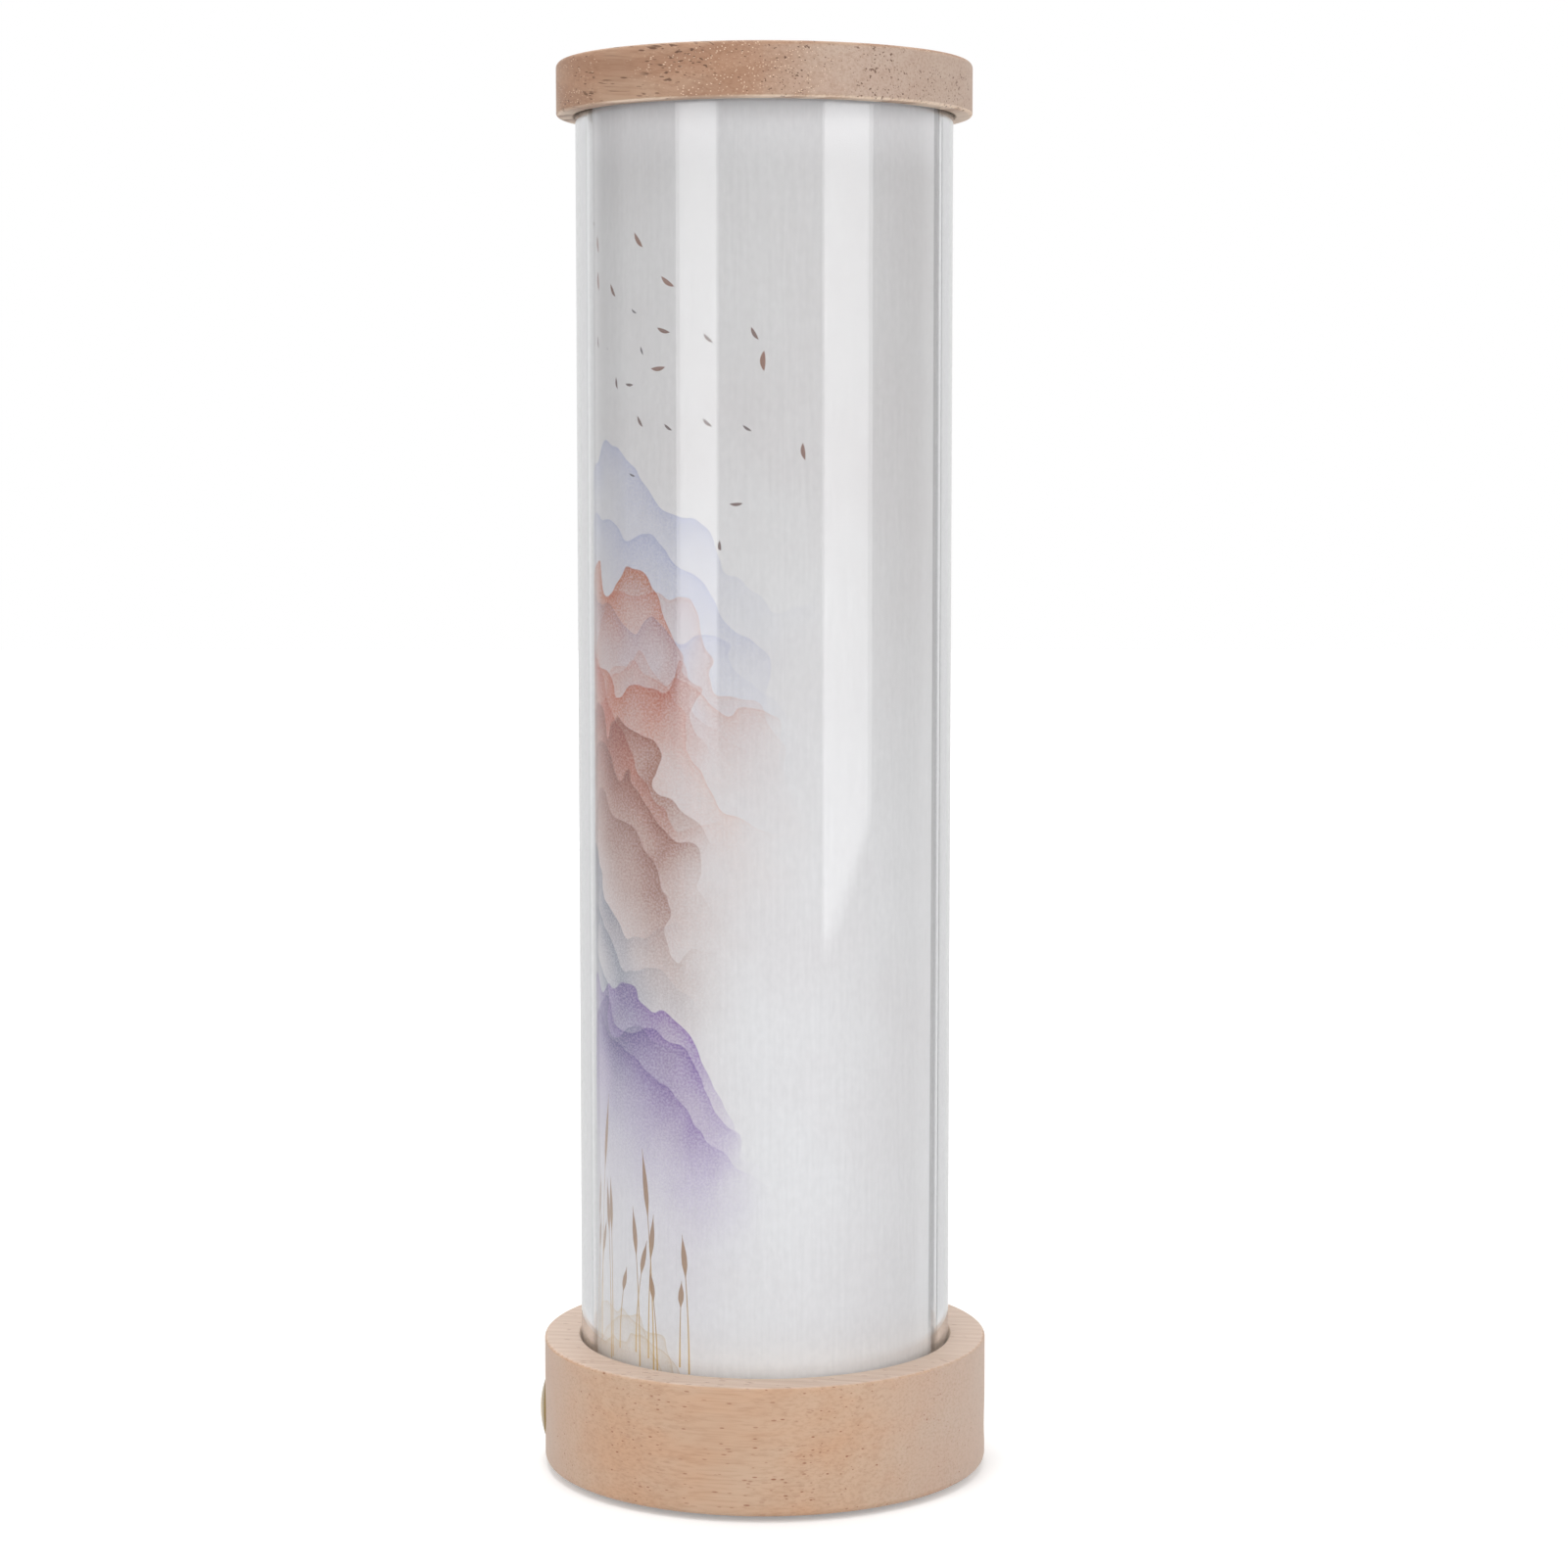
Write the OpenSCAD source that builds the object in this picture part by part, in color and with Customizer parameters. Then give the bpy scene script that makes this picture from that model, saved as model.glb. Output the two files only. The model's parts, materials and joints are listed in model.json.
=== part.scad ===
// Touch table lamp: a clear tube with a rolled print inside it, on a turned wooden base and under a wooden cap.
// Millimetres, +Z up. The origin is on the table, under the middle of the base. The touch button faces -Y.

/* [Tube] */
// Outside diameter of the clear tube
tube_d = 100; // [90:1:140]
// Wall thickness of the clear tube
tube_wall = 3; // [2:0.5:5]
// Length of tube that shows between the base and the cap
tube_show = 327; // [150:1:500]
// Chamfer on the cut ends of the tube
tube_chamfer = 0.4; // [0.2:0.1:0.8]

/* [Print] */
// Thickness of the printed film
print_t = 0.4; // [0.2:0.1:0.8]
// Gap between the bore of the tube and the roll
print_gap = 1.6; // [1.4:0.1:3]
// Gap between the roll and the flap that laps over it
flap_lift = 0.3; // [0.1:0.1:0.5]
// Angle of the flap's free edge, counted from +X
flap_angle = 95; // [0:1:359]
// Angle over which the film lies double
flap_lap = 32; // [15:1:60]
// Angle over which the film steps from the flap down to the roll
flap_step = 12; // [6:1:30]
// Space left above the film inside the cap
print_slack = 1; // [0.5:0.5:4]

/* [Base] */
// Width of the wooden rim round the tube
base_rim = 9.7; // [7:0.1:20]
// Depth of the socket that the tube stands in
socket_depth = 10; // [7:0.5:16]
// Radial clearance of the tube in its socket
tube_fit = 0.3; // [0.2:0.1:1]
// Chamfer at the mouth of the socket
socket_ease = 0.4; // [0.2:0.1:1]
// Thickness of the floor between the light and the wiring
floor_t = 6; // [5:0.5:10]
// Clear height of the wiring bay under that floor
bay_h = 15; // [15:0.5:30]
// Thickness of wood round the wiring bay
bay_wall = 16; // [15:0.5:18]
// Thickness of wood left behind the button and the power inlet
niche_wall = 11; // [10:0.5:13]
// Width of the two niches behind the button and the power inlet
niche_w = 20; // [18:0.5:22]
// Width of wood outside the bottom cover
base_lip = 8; // [7:0.5:9]
// Radius of the base's lower edge
base_low_round = 1.5; // [0.5:0.1:3]
// Radius of the base's upper edge
base_top_round = 0.8; // [0.3:0.1:3]
// Diameter of the hole for the leads in the floor and in the light board
lead_hole_d = 6; // [5:0.5:8]

/* [Bottom] */
// Thickness of the bottom cover
cover_t = 3; // [2.5:0.5:5]
// Radial clearance of the cover in its rebate
cover_fit = 0.3; // [0.1:0.1:0.6]
// Diameter of a foot pad
foot_d = 12; // [8:1:16]
// Thickness of a foot pad
foot_t = 1.5; // [1:0.5:3]
// Number of foot pads
foot_count = 4; // [3:1:6]
// Distance from the cover's edge to a foot pad
foot_inset = 5.5; // [3:0.5:10]

/* [Cap] */
// Width of the wooden rim round the tube
cap_rim = 4.6; // [3:0.1:12]
// Height of the cap
cap_h = 14; // [12:0.5:30]
// Depth of the groove that the tube stands in
groove_depth = 8; // [5:0.5:9]
// Radial clearance of the tube in the groove
cap_fit = 0.4; // [0.2:0.1:1]
// Radial clearance between the cap's boss and the film
boss_fit = 0.5; // [0.2:0.1:1]
// Chamfer at the mouth of the groove
groove_ease = 0.4; // [0.2:0.1:1]
// Radius of the cap's upper edge
cap_top_round = 1.6; // [0.5:0.1:3]
// Radius of the cap's lower edge
cap_low_round = 0.8; // [0.3:0.1:1.5]

/* [Touch button] */
// Diameter of the button
button_d = 15.6; // [12:0.1:18]
// Thickness of the button's rim
button_rim = 1.2; // [0.8:0.1:2]
// Rise of the button's dome above its rim
button_rise = 1.4; // [0.8:0.1:4]
// Depth of the button's flat seat, at its middle
button_sink = 1.2; // [0.8:0.1:2]
// Radial clearance of the button in its seat
button_fit = 0.3; // [0.1:0.1:0.6]
// Height of the button's middle above the underside of the base
button_up = 13; // [12:0.5:15]
// Diameter of the button's stud
stud_d = 4; // [3:0.5:5]
// Thickness of the nut on the stud
stud_nut_t = 3.2; // [2:0.1:4]
// Thickness of the solder lug
lug_t = 0.5; // [0.3:0.1:1]
// Length of the solder lug's tail
lug_tail_l = 7; // [5:0.5:9]

/* [Light] */
// Wall thickness of the ring that the film stands round
ring_wall = 3; // [2:0.5:5]
// Radial clearance between that ring and the film
ring_fit = 0.3; // [0.2:0.1:0.6]
// Width of the ledge that the diffuser lies on
ledge_w = 1.5; // [1:0.1:1.7]
// Thickness of the diffuser
diffuser_t = 2; // [1.5:0.5:3]
// Radial clearance of the diffuser in the ring
diffuser_fit = 0.2; // [0.1:0.1:0.5]
// Diameter of the ring's screw ears
ear_d = 8; // [7:0.5:10]
// Thickness of the ring's screw ears
ear_t = 3; // [2:0.5:3]
// Thickness of the light board
light_board_t = 1.6; // [1:0.1:2]
// Gap between the light board and the ears
light_board_fit = 0.5; // [0.3:0.1:1]
// Distance from the light board's edge to the outer circle of chips
chip_inset = 8; // [6:0.5:10]
// Number of light chips on the outer circle, twice as many as on the inner one
chip_count = 16; // [8:2:24]

/* [Driver] */
// Width of the driver board
driver_w = 36; // [32:1:40]
// Depth of the driver board
driver_l = 20; // [18:1:22]
// Thickness of the driver board
driver_t = 1.6; // [1:0.1:2]
// Distance from the middle of the bay to the driver board
driver_off = 9; // [8:0.5:10]
// Thickness of the foam tape that holds the driver board
tape_t = 1; // [0.5:0.5:2]
// Width of bare driver board round the tape
tape_inset = 4; // [3:0.5:6]
// Diameter of the insulated leads
lead_d = 1.4; // [1:0.1:1.6]

/* [Power inlet] */
// Diameter of the inlet's flange
inlet_flange_d = 15; // [14:0.5:17]
// Thickness of the inlet's flange
inlet_flange_t = 1.6; // [1:0.1:2.5]
// Diameter of the inlet's barrel
inlet_d = 12; // [11.5:0.1:12.5]
// Radial clearance of the inlet in the wood
inlet_fit = 0.1; // [0.1:0.1:0.4]
// Thickness of the nut on the barrel
inlet_nut_t = 2.5; // [2:0.5:4]
// Width of the metal shell
shell_w = 8.94; // [8.5:0.01:9.2]
// Height of the metal shell
shell_h = 3.26; // [3:0.01:3.5]
// Wall thickness of the metal shell
shell_t = 0.3; // [0.2:0.05:0.4]
// Length of the metal shell
shell_l = 9.6; // [8.5:0.1:10]
// Clearance of the shell in the inlet's body
shell_fit = 0.08; // [0.02:0.01:0.15]

/* [Screws] */
// Diameter of the screws
screw_d = 3; // [2.5:0.1:3.2]
// Diameter of the screw heads
screw_head_d = 5.6; // [5:0.1:6]
// Height of the pan heads
screw_head_h = 1.7; // [1.4:0.1:1.8]
// Length of the cover screws in the wood
screw_grip = 8; // [6:0.5:10]
// Wood left under the tips of the screws in the floor
screw_floor = 1.5; // [1:0.5:2]
// Radial clearance of a screw in its hole
screw_fit = 0.05; // [0.02:0.01:0.2]

/* [Hidden] */
$fn = 96;

// How far a cut runs past what it opens
over = 1;
// Radial clearance of a nut or lug on its thread
thread_fit = 0.05;
// Length of thread that shows past a nut
thread_end = 1.5;
// Radius of an edge that is eased, and of one that is only broken
edge_ease = 0.4;
edge_break = 0.1;
// Rounding of a pan head, and length and width of a cross recess
screw_head_round = 1;
recess_l = 3.1;
recess_w = 0.6;
// Added to a thread's diameter for the width of its nut across the flats
stud_nut_extra = 3;
inlet_nut_extra = 2;

// Heights, from the table up
base_z = foot_t;
cover_top = base_z + cover_t;
floor_z = cover_top + bay_h;
seat_z = floor_z + floor_t;
base_top = seat_z + socket_depth;
cap_z = base_top + tube_show;
tube_top = cap_z + groove_depth;
base_h = base_top - base_z;
button_z = base_z + button_up;
inlet_z = cover_top + bay_h / 2;

// Radii, from the tube out and in
tube_r = tube_d / 2;
bore_r = tube_r - tube_wall;
socket_r = tube_r + tube_fit;
base_r = socket_r + base_rim;
cap_r = tube_r + cap_fit + cap_rim;
roll_r = bore_r - print_gap - print_t;
flap_r = roll_r + print_t + flap_lift;
ring_r = roll_r - ring_fit;
ring_bore_r = ring_r - ring_wall;
boss_r = roll_r - boss_fit;
bay_r = base_r - bay_wall;
rebate_r = base_r - base_lip;
cover_r = rebate_r - cover_fit;
foot_r = cover_r - foot_inset - foot_d / 2;
niche_y = base_r - niche_wall;
screw_hole_r = screw_d / 2 + screw_fit;

// Cover screws stand between the niches
cover_screw_count = 4;
cover_screw_inset = 4;
cover_screw_r = cover_r - cover_screw_inset;
cover_screw_angle = 45;

// Light
diffuser_r = ring_bore_r + ledge_w - diffuser_fit;
ear_count = 3;
ear_angle = 45;
ear_head_gap = 0.3;
ear_r = ring_bore_r - screw_head_d / 2 - ear_head_gap;
light_board_r = ear_r - ear_d / 2 - light_board_fit;
outer_chip_r = light_board_r - chip_inset;
inner_chip_r = outer_chip_r / 2;
chip_size = [2.8, 3.5, 0.8];
light_screw_count = 3;
light_screw_angle = 15;
light_screw_r = (outer_chip_r + inner_chip_r) / 2;
floor_screw_l = floor_t - screw_floor;

// Button
button_back_y = -(base_r - button_sink);
lug_rim = 1.7;
lug_r = stud_d / 2 + lug_rim;
lug_tail_w = 3;

// Driver board
driver_z = floor_z - tape_t - driver_t;
driver_y = -driver_off - driver_l / 2;
pad_inset = 3;
pad_pitch = 3;
pad_side = 5;
rear_pad_y = driver_y + driver_l / 2 - pad_inset;
touch_pad = [-driver_w / 2 + pad_inset, driver_y - driver_l / 2 + pad_inset, driver_z];
power_pads = [for (i = [0, 1]) [-driver_w / 2 + pad_side + i * pad_pitch, rear_pad_y, driver_z]];
light_pads = [for (i = [1, 0]) [driver_w / 2 - pad_side - i * pad_pitch, rear_pad_y, driver_z]];
leg_size = [0.4, 1, 0.3];
touch_chip_size = [5, 4, 1.6];
touch_chip_legs = 4;
touch_chip_pitch = 1.27;
touch_chip_edge = 12;
touch_chip_x = -driver_w / 2 + touch_chip_edge;
transistor_size = [6.5, 6, 2.3];
transistor_legs = 2;
transistor_pitch = 2.3;
capacitor_d = 6.3;
capacitor_h = 6;
capacitor_edge = 6;
capacitor_x = driver_w / 2 - capacitor_edge;
transistor_x = (touch_chip_x + capacitor_x) / 2;

// Power inlet
inlet_flush = 0.6;
inlet_face_y = base_r - inlet_flush;
inlet_seat_y = inlet_face_y - inlet_flange_t;
inlet_end_y = niche_y - inlet_nut_t - thread_end;
shell_recess = 0.2;
shell_end_y = inlet_face_y - shell_recess - shell_l;
tongue_recess = 2;
tongue_w = 6.7;
tongue_t = 0.7;
terminal_size = [2.4, 3, 0.6];
terminal_x = 3;

// Leads: steps along a curve, how far each bows out from its two ends, and their way onto the light board
lead_steps = 12;
touch_bow = [5, 5];
power_bow = [20, 7];
light_bow = [7, 8];
landing_bow = [1.5, 2];
landing_l = 4;
landing_gap = 0.05;
lead_part = 0.5;

// Waste of a rounded corner: a square less the round that stays, centred on the origin
module corner_waste(r) {
    difference() {
        square(r + over);
        circle(r);
    }
}

// Half section of a disc of radius r from z 0 to h, with its outer edges rounded
module round_disc_section(r, h, low, top) {
    difference() {
        square([r, h]);
        translate([r - top, h - top]) corner_waste(top);
        translate([r - low, low]) mirror([0, 1]) corner_waste(low);
    }
}

// Waste of a chamfer c on the corner of a section at the origin
module chamfer_waste(c) {
    rotate(45) square(c * sqrt(2), center = true);
}

// Bar with half-round ends along X, of width w and height h, from y0 to y1 at height z
module oblong_bar(w, h, y0, y1, z) {
    translate([0, y1, z]) rotate([90, 0, 0]) linear_extrude(y1 - y0) {
        square([w - h, h], center = true);
        for (s = [-1, 1]) translate([s * (w - h) / 2, 0]) circle(d = h);
    }
}

// Cylinder along Y from y0 to y1, at x 0 and height z
module y_cylinder(r, y0, y1, z) {
    translate([0, y1, z]) rotate([90, 0, 0]) cylinder(r = r, h = y1 - y0);
}

// Hexagon nut along Y from y0 to y1, with flats above and below and a plain bore
module y_nut(across_flats, bore_radius, y0, y1, z) {
    difference() {
        translate([0, y1, z]) rotate([90, 0, 0]) cylinder(d = across_flats / cos(30), h = y1 - y0, $fn = 6);
        y_cylinder(bore_radius, y0 - over, y1 + over, z);
    }
}

// Places children n times round the Z axis at radius r, the first at angle a
module round_pattern(n, r, a = 0) {
    for (i = [0:n - 1]) rotate(a + 360 * i / n) translate([r, 0, 0]) children();
}

// Cross recess for a screwdriver, centred on z 0
module cross_recess() {
    slot = [recess_l, recess_w, screw_head_h];
    for (a = [0, 90]) rotate(a) cube(slot, center = true);
}

// Pan-head screw whose head stands on z 0, with a shank of length l below it
module pan_screw(l) {
    difference() {
        rotate_extrude() {
            translate([0, -l]) square([screw_d / 2, l]);
            round_disc_section(screw_head_d / 2, screw_head_h, edge_break, screw_head_round);
        }
        translate([0, 0, screw_head_h]) cross_recess();
    }
}

// Half section of a countersunk screw whose head is level with z 0, wider all round by f
module flat_screw_section(l, f = 0) {
    cone_h = (screw_head_d - screw_d) / 2;
    polygon([
        [0, 0], [screw_head_d / 2 + f, 0], [screw_d / 2 + f, cone_h], [screw_d / 2 + f, l], [0, l]
    ]);
}

module flat_screw(l) {
    difference() {
        rotate_extrude() flat_screw_section(l);
        cross_recess();
    }
}

// Leads: round tubes along a curve

function unit(v) = v / norm(v);

function bezier(a, b, c, d, n) = [
    for (i = [0:n]) let (t = i / n, s = 1 - t)
        s * s * s * a + 3 * s * s * t * b + 3 * s * t * t * c + t * t * t * d
];

// From a, leaving along the unit direction a_dir, to b, arriving along b_dir, with a straight end at each.
// The two bows say how far the curve carries on along these directions.
function lead_route(a, a_dir, b, b_dir, bow) = let (
    stub = lead_d,
    from = a + stub * a_dir,
    to = b - stub * b_dir
) concat([a], bezier(from, from + bow[0] * a_dir, to - bow[1] * b_dir, to, lead_steps), [b]);

function tangent(p, i) = unit(p[min(i + 1, len(p) - 1)] - p[max(i - 1, 0)]);

// A direction square to the route at its point i, carried along without twist
function aside(p, i) = let (
    t = tangent(p, i),
    n = i == 0 ? [t[1], t[2], t[0]] : aside(p, i - 1)
) unit(n - (n * t) * t);

// Round tube of diameter lead_d along the points p
module lead(p) {
    sides = 8;
    rings = len(p);
    points = [
        for (i = [0:rings - 1]) let (n = aside(p, i), b = cross(tangent(p, i), n))
            for (k = [0:sides - 1])
                p[i] + lead_d / 2 * (cos(360 * k / sides) * n + sin(360 * k / sides) * b)
    ];
    function at(i, k) = i * sides + k % sides;
    wall = [
        for (i = [0:rings - 2], k = [0:sides - 1], half = [0, 1]) half == 0
            ? [at(i, k), at(i + 1, k), at(i + 1, k + 1)]
            : [at(i, k), at(i + 1, k + 1), at(i, k + 1)]
    ];
    first = [for (k = [1:sides - 2]) [at(0, 0), at(0, k), at(0, k + 1)]];
    last = [for (k = [1:sides - 2]) [at(rings - 1, 0), at(rings - 1, k + 1), at(rings - 1, k)]];
    polyhedron(points, concat(first, wall, last));
}

// Turned blank of the base: the tube's socket above, the wiring bay and the cover's rebate below
module base_blank() {
    rotate_extrude() difference() {
        translate([0, base_z]) round_disc_section(base_r, base_h, base_low_round, base_top_round);
        translate([0, seat_z]) square([socket_r, socket_depth + over]);
        translate([socket_r, base_top]) chamfer_waste(socket_ease);
        translate([0, base_z - over]) square([bay_r, cover_t + bay_h + over]);
        translate([0, base_z - over]) square([rebate_r, cover_t + over]);
    }
}

// Flat-backed niche that widens the wiring bay from its middle towards side s along Y
module niche(s) {
    translate([-niche_w / 2, s > 0 ? 0 : -niche_y, cover_top - over]) cube([niche_w, niche_y, bay_h + over]);
}

module base_body() color("burlywood") difference() {
    base_blank();
    niche(-1);
    niche(1);
    // Button: flat seat and stud hole
    y_cylinder(button_d / 2 + button_fit, -base_r - over, button_back_y, button_z);
    y_cylinder(stud_d / 2 + button_fit, -base_r, -niche_y + over, button_z);
    // Power inlet: flat seat and barrel hole
    y_cylinder(inlet_flange_d / 2 + inlet_fit, inlet_seat_y, base_r + over, inlet_z);
    y_cylinder(inlet_d / 2 + inlet_fit, niche_y - over, base_r, inlet_z);
    // Leads to the light, and pilot holes for the screws
    translate([0, 0, floor_z - over]) cylinder(d = lead_hole_d, h = floor_t + 2 * over);
    round_pattern(light_screw_count, light_screw_r, light_screw_angle)
        translate([0, 0, seat_z - floor_screw_l]) cylinder(r = screw_hole_r, h = floor_screw_l + over);
    round_pattern(ear_count, ear_r, ear_angle)
        translate([0, 0, seat_z - floor_screw_l]) cylinder(r = screw_hole_r, h = floor_screw_l + over);
    round_pattern(cover_screw_count, cover_screw_r, cover_screw_angle)
        translate([0, 0, cover_top - over]) cylinder(r = screw_hole_r, h = screw_grip + over);
}

module bottom_cover() color("dimgray") translate([0, 0, base_z]) difference() {
    rotate_extrude() round_disc_section(cover_r, cover_t, edge_ease, edge_break);
    round_pattern(cover_screw_count, cover_screw_r, cover_screw_angle)
        rotate_extrude() flat_screw_section(cover_t + over, screw_fit);
}

module cover_screws() color("silver") translate([0, 0, base_z])
    round_pattern(cover_screw_count, cover_screw_r, cover_screw_angle) flat_screw(cover_t + screw_grip);

module foot_pads() color("black") round_pattern(foot_count, foot_r)
    rotate_extrude() round_disc_section(foot_d / 2, foot_t, edge_ease, edge_break);

module tube() color("azure", 0.4) rotate_extrude() difference() {
    translate([bore_r, seat_z]) square([tube_wall, tube_top - seat_z]);
    for (r = [bore_r, tube_r], z = [seat_z, tube_top]) translate([r, z]) chamfer_waste(tube_chamfer);
}

// One sheet, from the flap's free edge through a step down to the roll, which ends under the flap
module print_outline() {
    step_gap = 3;
    step_from = flap_angle + flap_lap + step_gap;
    last_angle = flap_angle + flap_lap + 360;
    facet = 4;
    n = ceil((last_angle - flap_angle) / facet);
    angles = [for (i = [0:n]) flap_angle + (last_angle - flap_angle) * i / n];
    // Share of the step that is done at angle a, easing in and out
    function dropped(a) = (1 - cos(180 * max(0, min(1, (a - step_from) / flap_step)))) / 2;
    function sheet_r(a) = flap_r + (roll_r - flap_r) * dropped(a);
    function at(a, r) = r * [cos(a), sin(a)];
    polygon(concat(
        [for (a = angles) at(a, sheet_r(a))],
        [for (i = [n:-1:0]) at(angles[i], sheet_r(angles[i]) + print_t)]
    ));
}

module print_film() color("whitesmoke")
    translate([0, 0, seat_z]) linear_extrude(tube_top - print_slack - seat_z) print_outline();

module top_cap() color("burlywood") translate([0, 0, cap_z]) rotate_extrude() {
    groove_r = tube_r + cap_fit;
    difference() {
        round_disc_section(cap_r, cap_h, cap_low_round, cap_top_round);
        translate([boss_r, -over]) square([groove_r - boss_r, groove_depth + over]);
        for (r = [boss_r, groove_r]) translate([r, 0]) chamfer_waste(groove_ease);
    }
}

// Turned about its own axis: dome, rim and stud
module touch_button() color("goldenrod") translate([0, button_back_y, button_z]) rotate([90, 0, 0]) {
    r = button_d / 2;
    dome_r = (r * r + button_rise * button_rise) / (2 * button_rise);
    stud_l = -niche_y - button_back_y + lug_t + stud_nut_t + thread_end;
    intersection() {
        cylinder(r = r, h = button_rim + button_rise);
        translate([0, 0, button_rim + button_rise - dome_r]) sphere(dome_r);
    }
    translate([0, 0, -stud_l]) cylinder(d = stud_d, h = stud_l + button_rim / 2);
}

// Ring under the nut, with a tail bent inwards that the lead is soldered to
module touch_lug() color("gold") {
    front_y = -niche_y;
    tail_z = button_z - lug_r - lug_t;
    difference() {
        union() {
            y_cylinder(lug_r, front_y, front_y + lug_t, button_z);
            translate([-lug_tail_w / 2, front_y, tail_z]) cube([lug_tail_w, lug_t, lug_r]);
            translate([-lug_tail_w / 2, front_y, tail_z]) cube([lug_tail_w, lug_tail_l, lug_t]);
        }
        y_cylinder(stud_d / 2 + thread_fit, front_y - over, front_y + lug_t + over, button_z);
    }
}

module touch_nut() color("gold") {
    front_y = -niche_y + lug_t;
    y_nut(stud_d + stud_nut_extra, stud_d / 2 + thread_fit, front_y, front_y + stud_nut_t, button_z);
}

module touch_lead() color("white") {
    start = [0, -niche_y + lug_tail_l, button_z - lug_r - lug_t / 2];
    lead(lead_route(start, [0, 1, 0], touch_pad, [0, 0, 1], touch_bow));
}

// Ring that the film stands round, with a ledge for the diffuser and ears for its screws
module seat_ring() color("white") translate([0, 0, seat_z]) difference() {
    union() {
        rotate_extrude() translate([ring_bore_r, 0]) difference() {
            square([ring_wall, socket_depth]);
            translate([-over, socket_depth - diffuser_t]) square([ledge_w + over, diffuser_t + over]);
        }
        round_pattern(ear_count, ear_r, ear_angle) {
            cylinder(d = ear_d, h = ear_t);
            translate([0, -ear_d / 2, 0]) cube([ring_bore_r - ear_r + ring_wall / 2, ear_d, ear_t]);
        }
    }
    round_pattern(ear_count, ear_r, ear_angle) translate([0, 0, -over])
        cylinder(r = screw_hole_r, h = ear_t + 2 * over);
}

module seat_screws() color("silver") translate([0, 0, seat_z + ear_t])
    round_pattern(ear_count, ear_r, ear_angle) pan_screw(ear_t + floor_screw_l);

module diffuser() color("white", 0.8) translate([0, 0, base_top - diffuser_t])
    rotate_extrude() round_disc_section(diffuser_r, diffuser_t, edge_break, edge_ease);

module light_board() color("ivory") translate([0, 0, seat_z]) difference() {
    cylinder(r = light_board_r, h = light_board_t);
    translate([0, 0, -over]) cylinder(d = lead_hole_d, h = light_board_t + 2 * over);
    round_pattern(light_screw_count, light_screw_r, light_screw_angle) translate([0, 0, -over])
        cylinder(r = screw_hole_r, h = light_board_t + 2 * over);
}

module light_chips() color("khaki") translate([0, 0, seat_z + light_board_t]) {
    corner = [-chip_size[0] / 2, -chip_size[1] / 2, 0];
    round_pattern(chip_count, outer_chip_r) translate(corner) cube(chip_size);
    round_pattern(chip_count / 2, inner_chip_r) translate(corner) cube(chip_size);
}

module light_screws() color("silver") translate([0, 0, seat_z + light_board_t])
    round_pattern(light_screw_count, light_screw_r, light_screw_angle) pan_screw(light_board_t + floor_screw_l);

// From the driver board down into the bay, up through the floor and over onto the light board
module light_leads() color("ivory") {
    board_top = seat_z + light_board_t;
    lead_x = lead_d / 2 + lead_part;
    landing_x = lead_hole_d / 2 + landing_l;
    for (i = [0, 1]) {
        side = i == 0 ? -1 : 1;
        hole = [side * lead_x, 0, floor_z];
        brim = [side * lead_x, 0, board_top];
        landing = [side * landing_x, 0, board_top + lead_d / 2 + landing_gap];
        up = lead_route(light_pads[i], [0, 0, -1], hole, [0, 0, 1], light_bow);
        bend = lead_route(brim, [0, 0, 1], landing, [side, 0, 0], landing_bow);
        lead(concat(up, bend));
    }
}

module driver_board() color("seagreen")
    translate([-driver_w / 2, driver_y - driver_l / 2, driver_z]) cube([driver_w, driver_l, driver_t]);

module driver_tape() color("gray") {
    tape = [driver_w - 2 * tape_inset, driver_l - 2 * tape_inset, tape_t];
    translate([-tape[0] / 2, driver_y - tape[1] / 2, driver_z + driver_t]) cube(tape);
}

// Moulded chip hung under the driver board at x, with a row of legs on two sides
module board_chip(size, x, legs, pitch) {
    leg_y = (size[1] + leg_size[1]) / 2;
    leg_z = size[2] - leg_size[2] / 2;
    translate([x, driver_y, driver_z - size[2]]) {
        translate([-size[0] / 2, -size[1] / 2, 0]) cube(size);
        for (s = [-1, 1], i = [0:legs - 1])
            translate([(i - (legs - 1) / 2) * pitch, s * leg_y, leg_z]) cube(leg_size, center = true);
    }
}

module touch_chip() color("black")
    board_chip(touch_chip_size, touch_chip_x, touch_chip_legs, touch_chip_pitch);

module dimmer_transistor() color("black")
    board_chip(transistor_size, transistor_x, transistor_legs, transistor_pitch);

module smoothing_capacitor() color("navy") translate([capacitor_x, driver_y, driver_z - capacitor_h])
    rotate_extrude() round_disc_section(capacitor_d / 2, capacitor_h, edge_ease, edge_break);

// Flange and barrel, with a pocket for the metal shell
module inlet_body() color("black") difference() {
    union() {
        y_cylinder(inlet_flange_d / 2, inlet_seat_y, inlet_face_y, inlet_z);
        y_cylinder(inlet_d / 2, inlet_end_y, inlet_seat_y + inlet_flange_t / 2, inlet_z);
    }
    oblong_bar(shell_w + 2 * shell_fit, shell_h + 2 * shell_fit, shell_end_y, inlet_face_y + over, inlet_z);
}

module inlet_nut() color("silver")
    y_nut(inlet_d + inlet_nut_extra, inlet_d / 2 + thread_fit, niche_y - inlet_nut_t, niche_y, inlet_z);

module inlet_shell() color("silver") {
    front_y = shell_end_y + shell_l;
    difference() {
        oblong_bar(shell_w, shell_h, shell_end_y, front_y, inlet_z);
        oblong_bar(shell_w - 2 * shell_t, shell_h - 2 * shell_t, shell_end_y - over, front_y + over, inlet_z);
    }
}

module inlet_tongue() color("black")
    translate([-tongue_w / 2, shell_end_y, inlet_z - tongue_t / 2])
        cube([tongue_w, shell_l - tongue_recess, tongue_t]);

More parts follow.
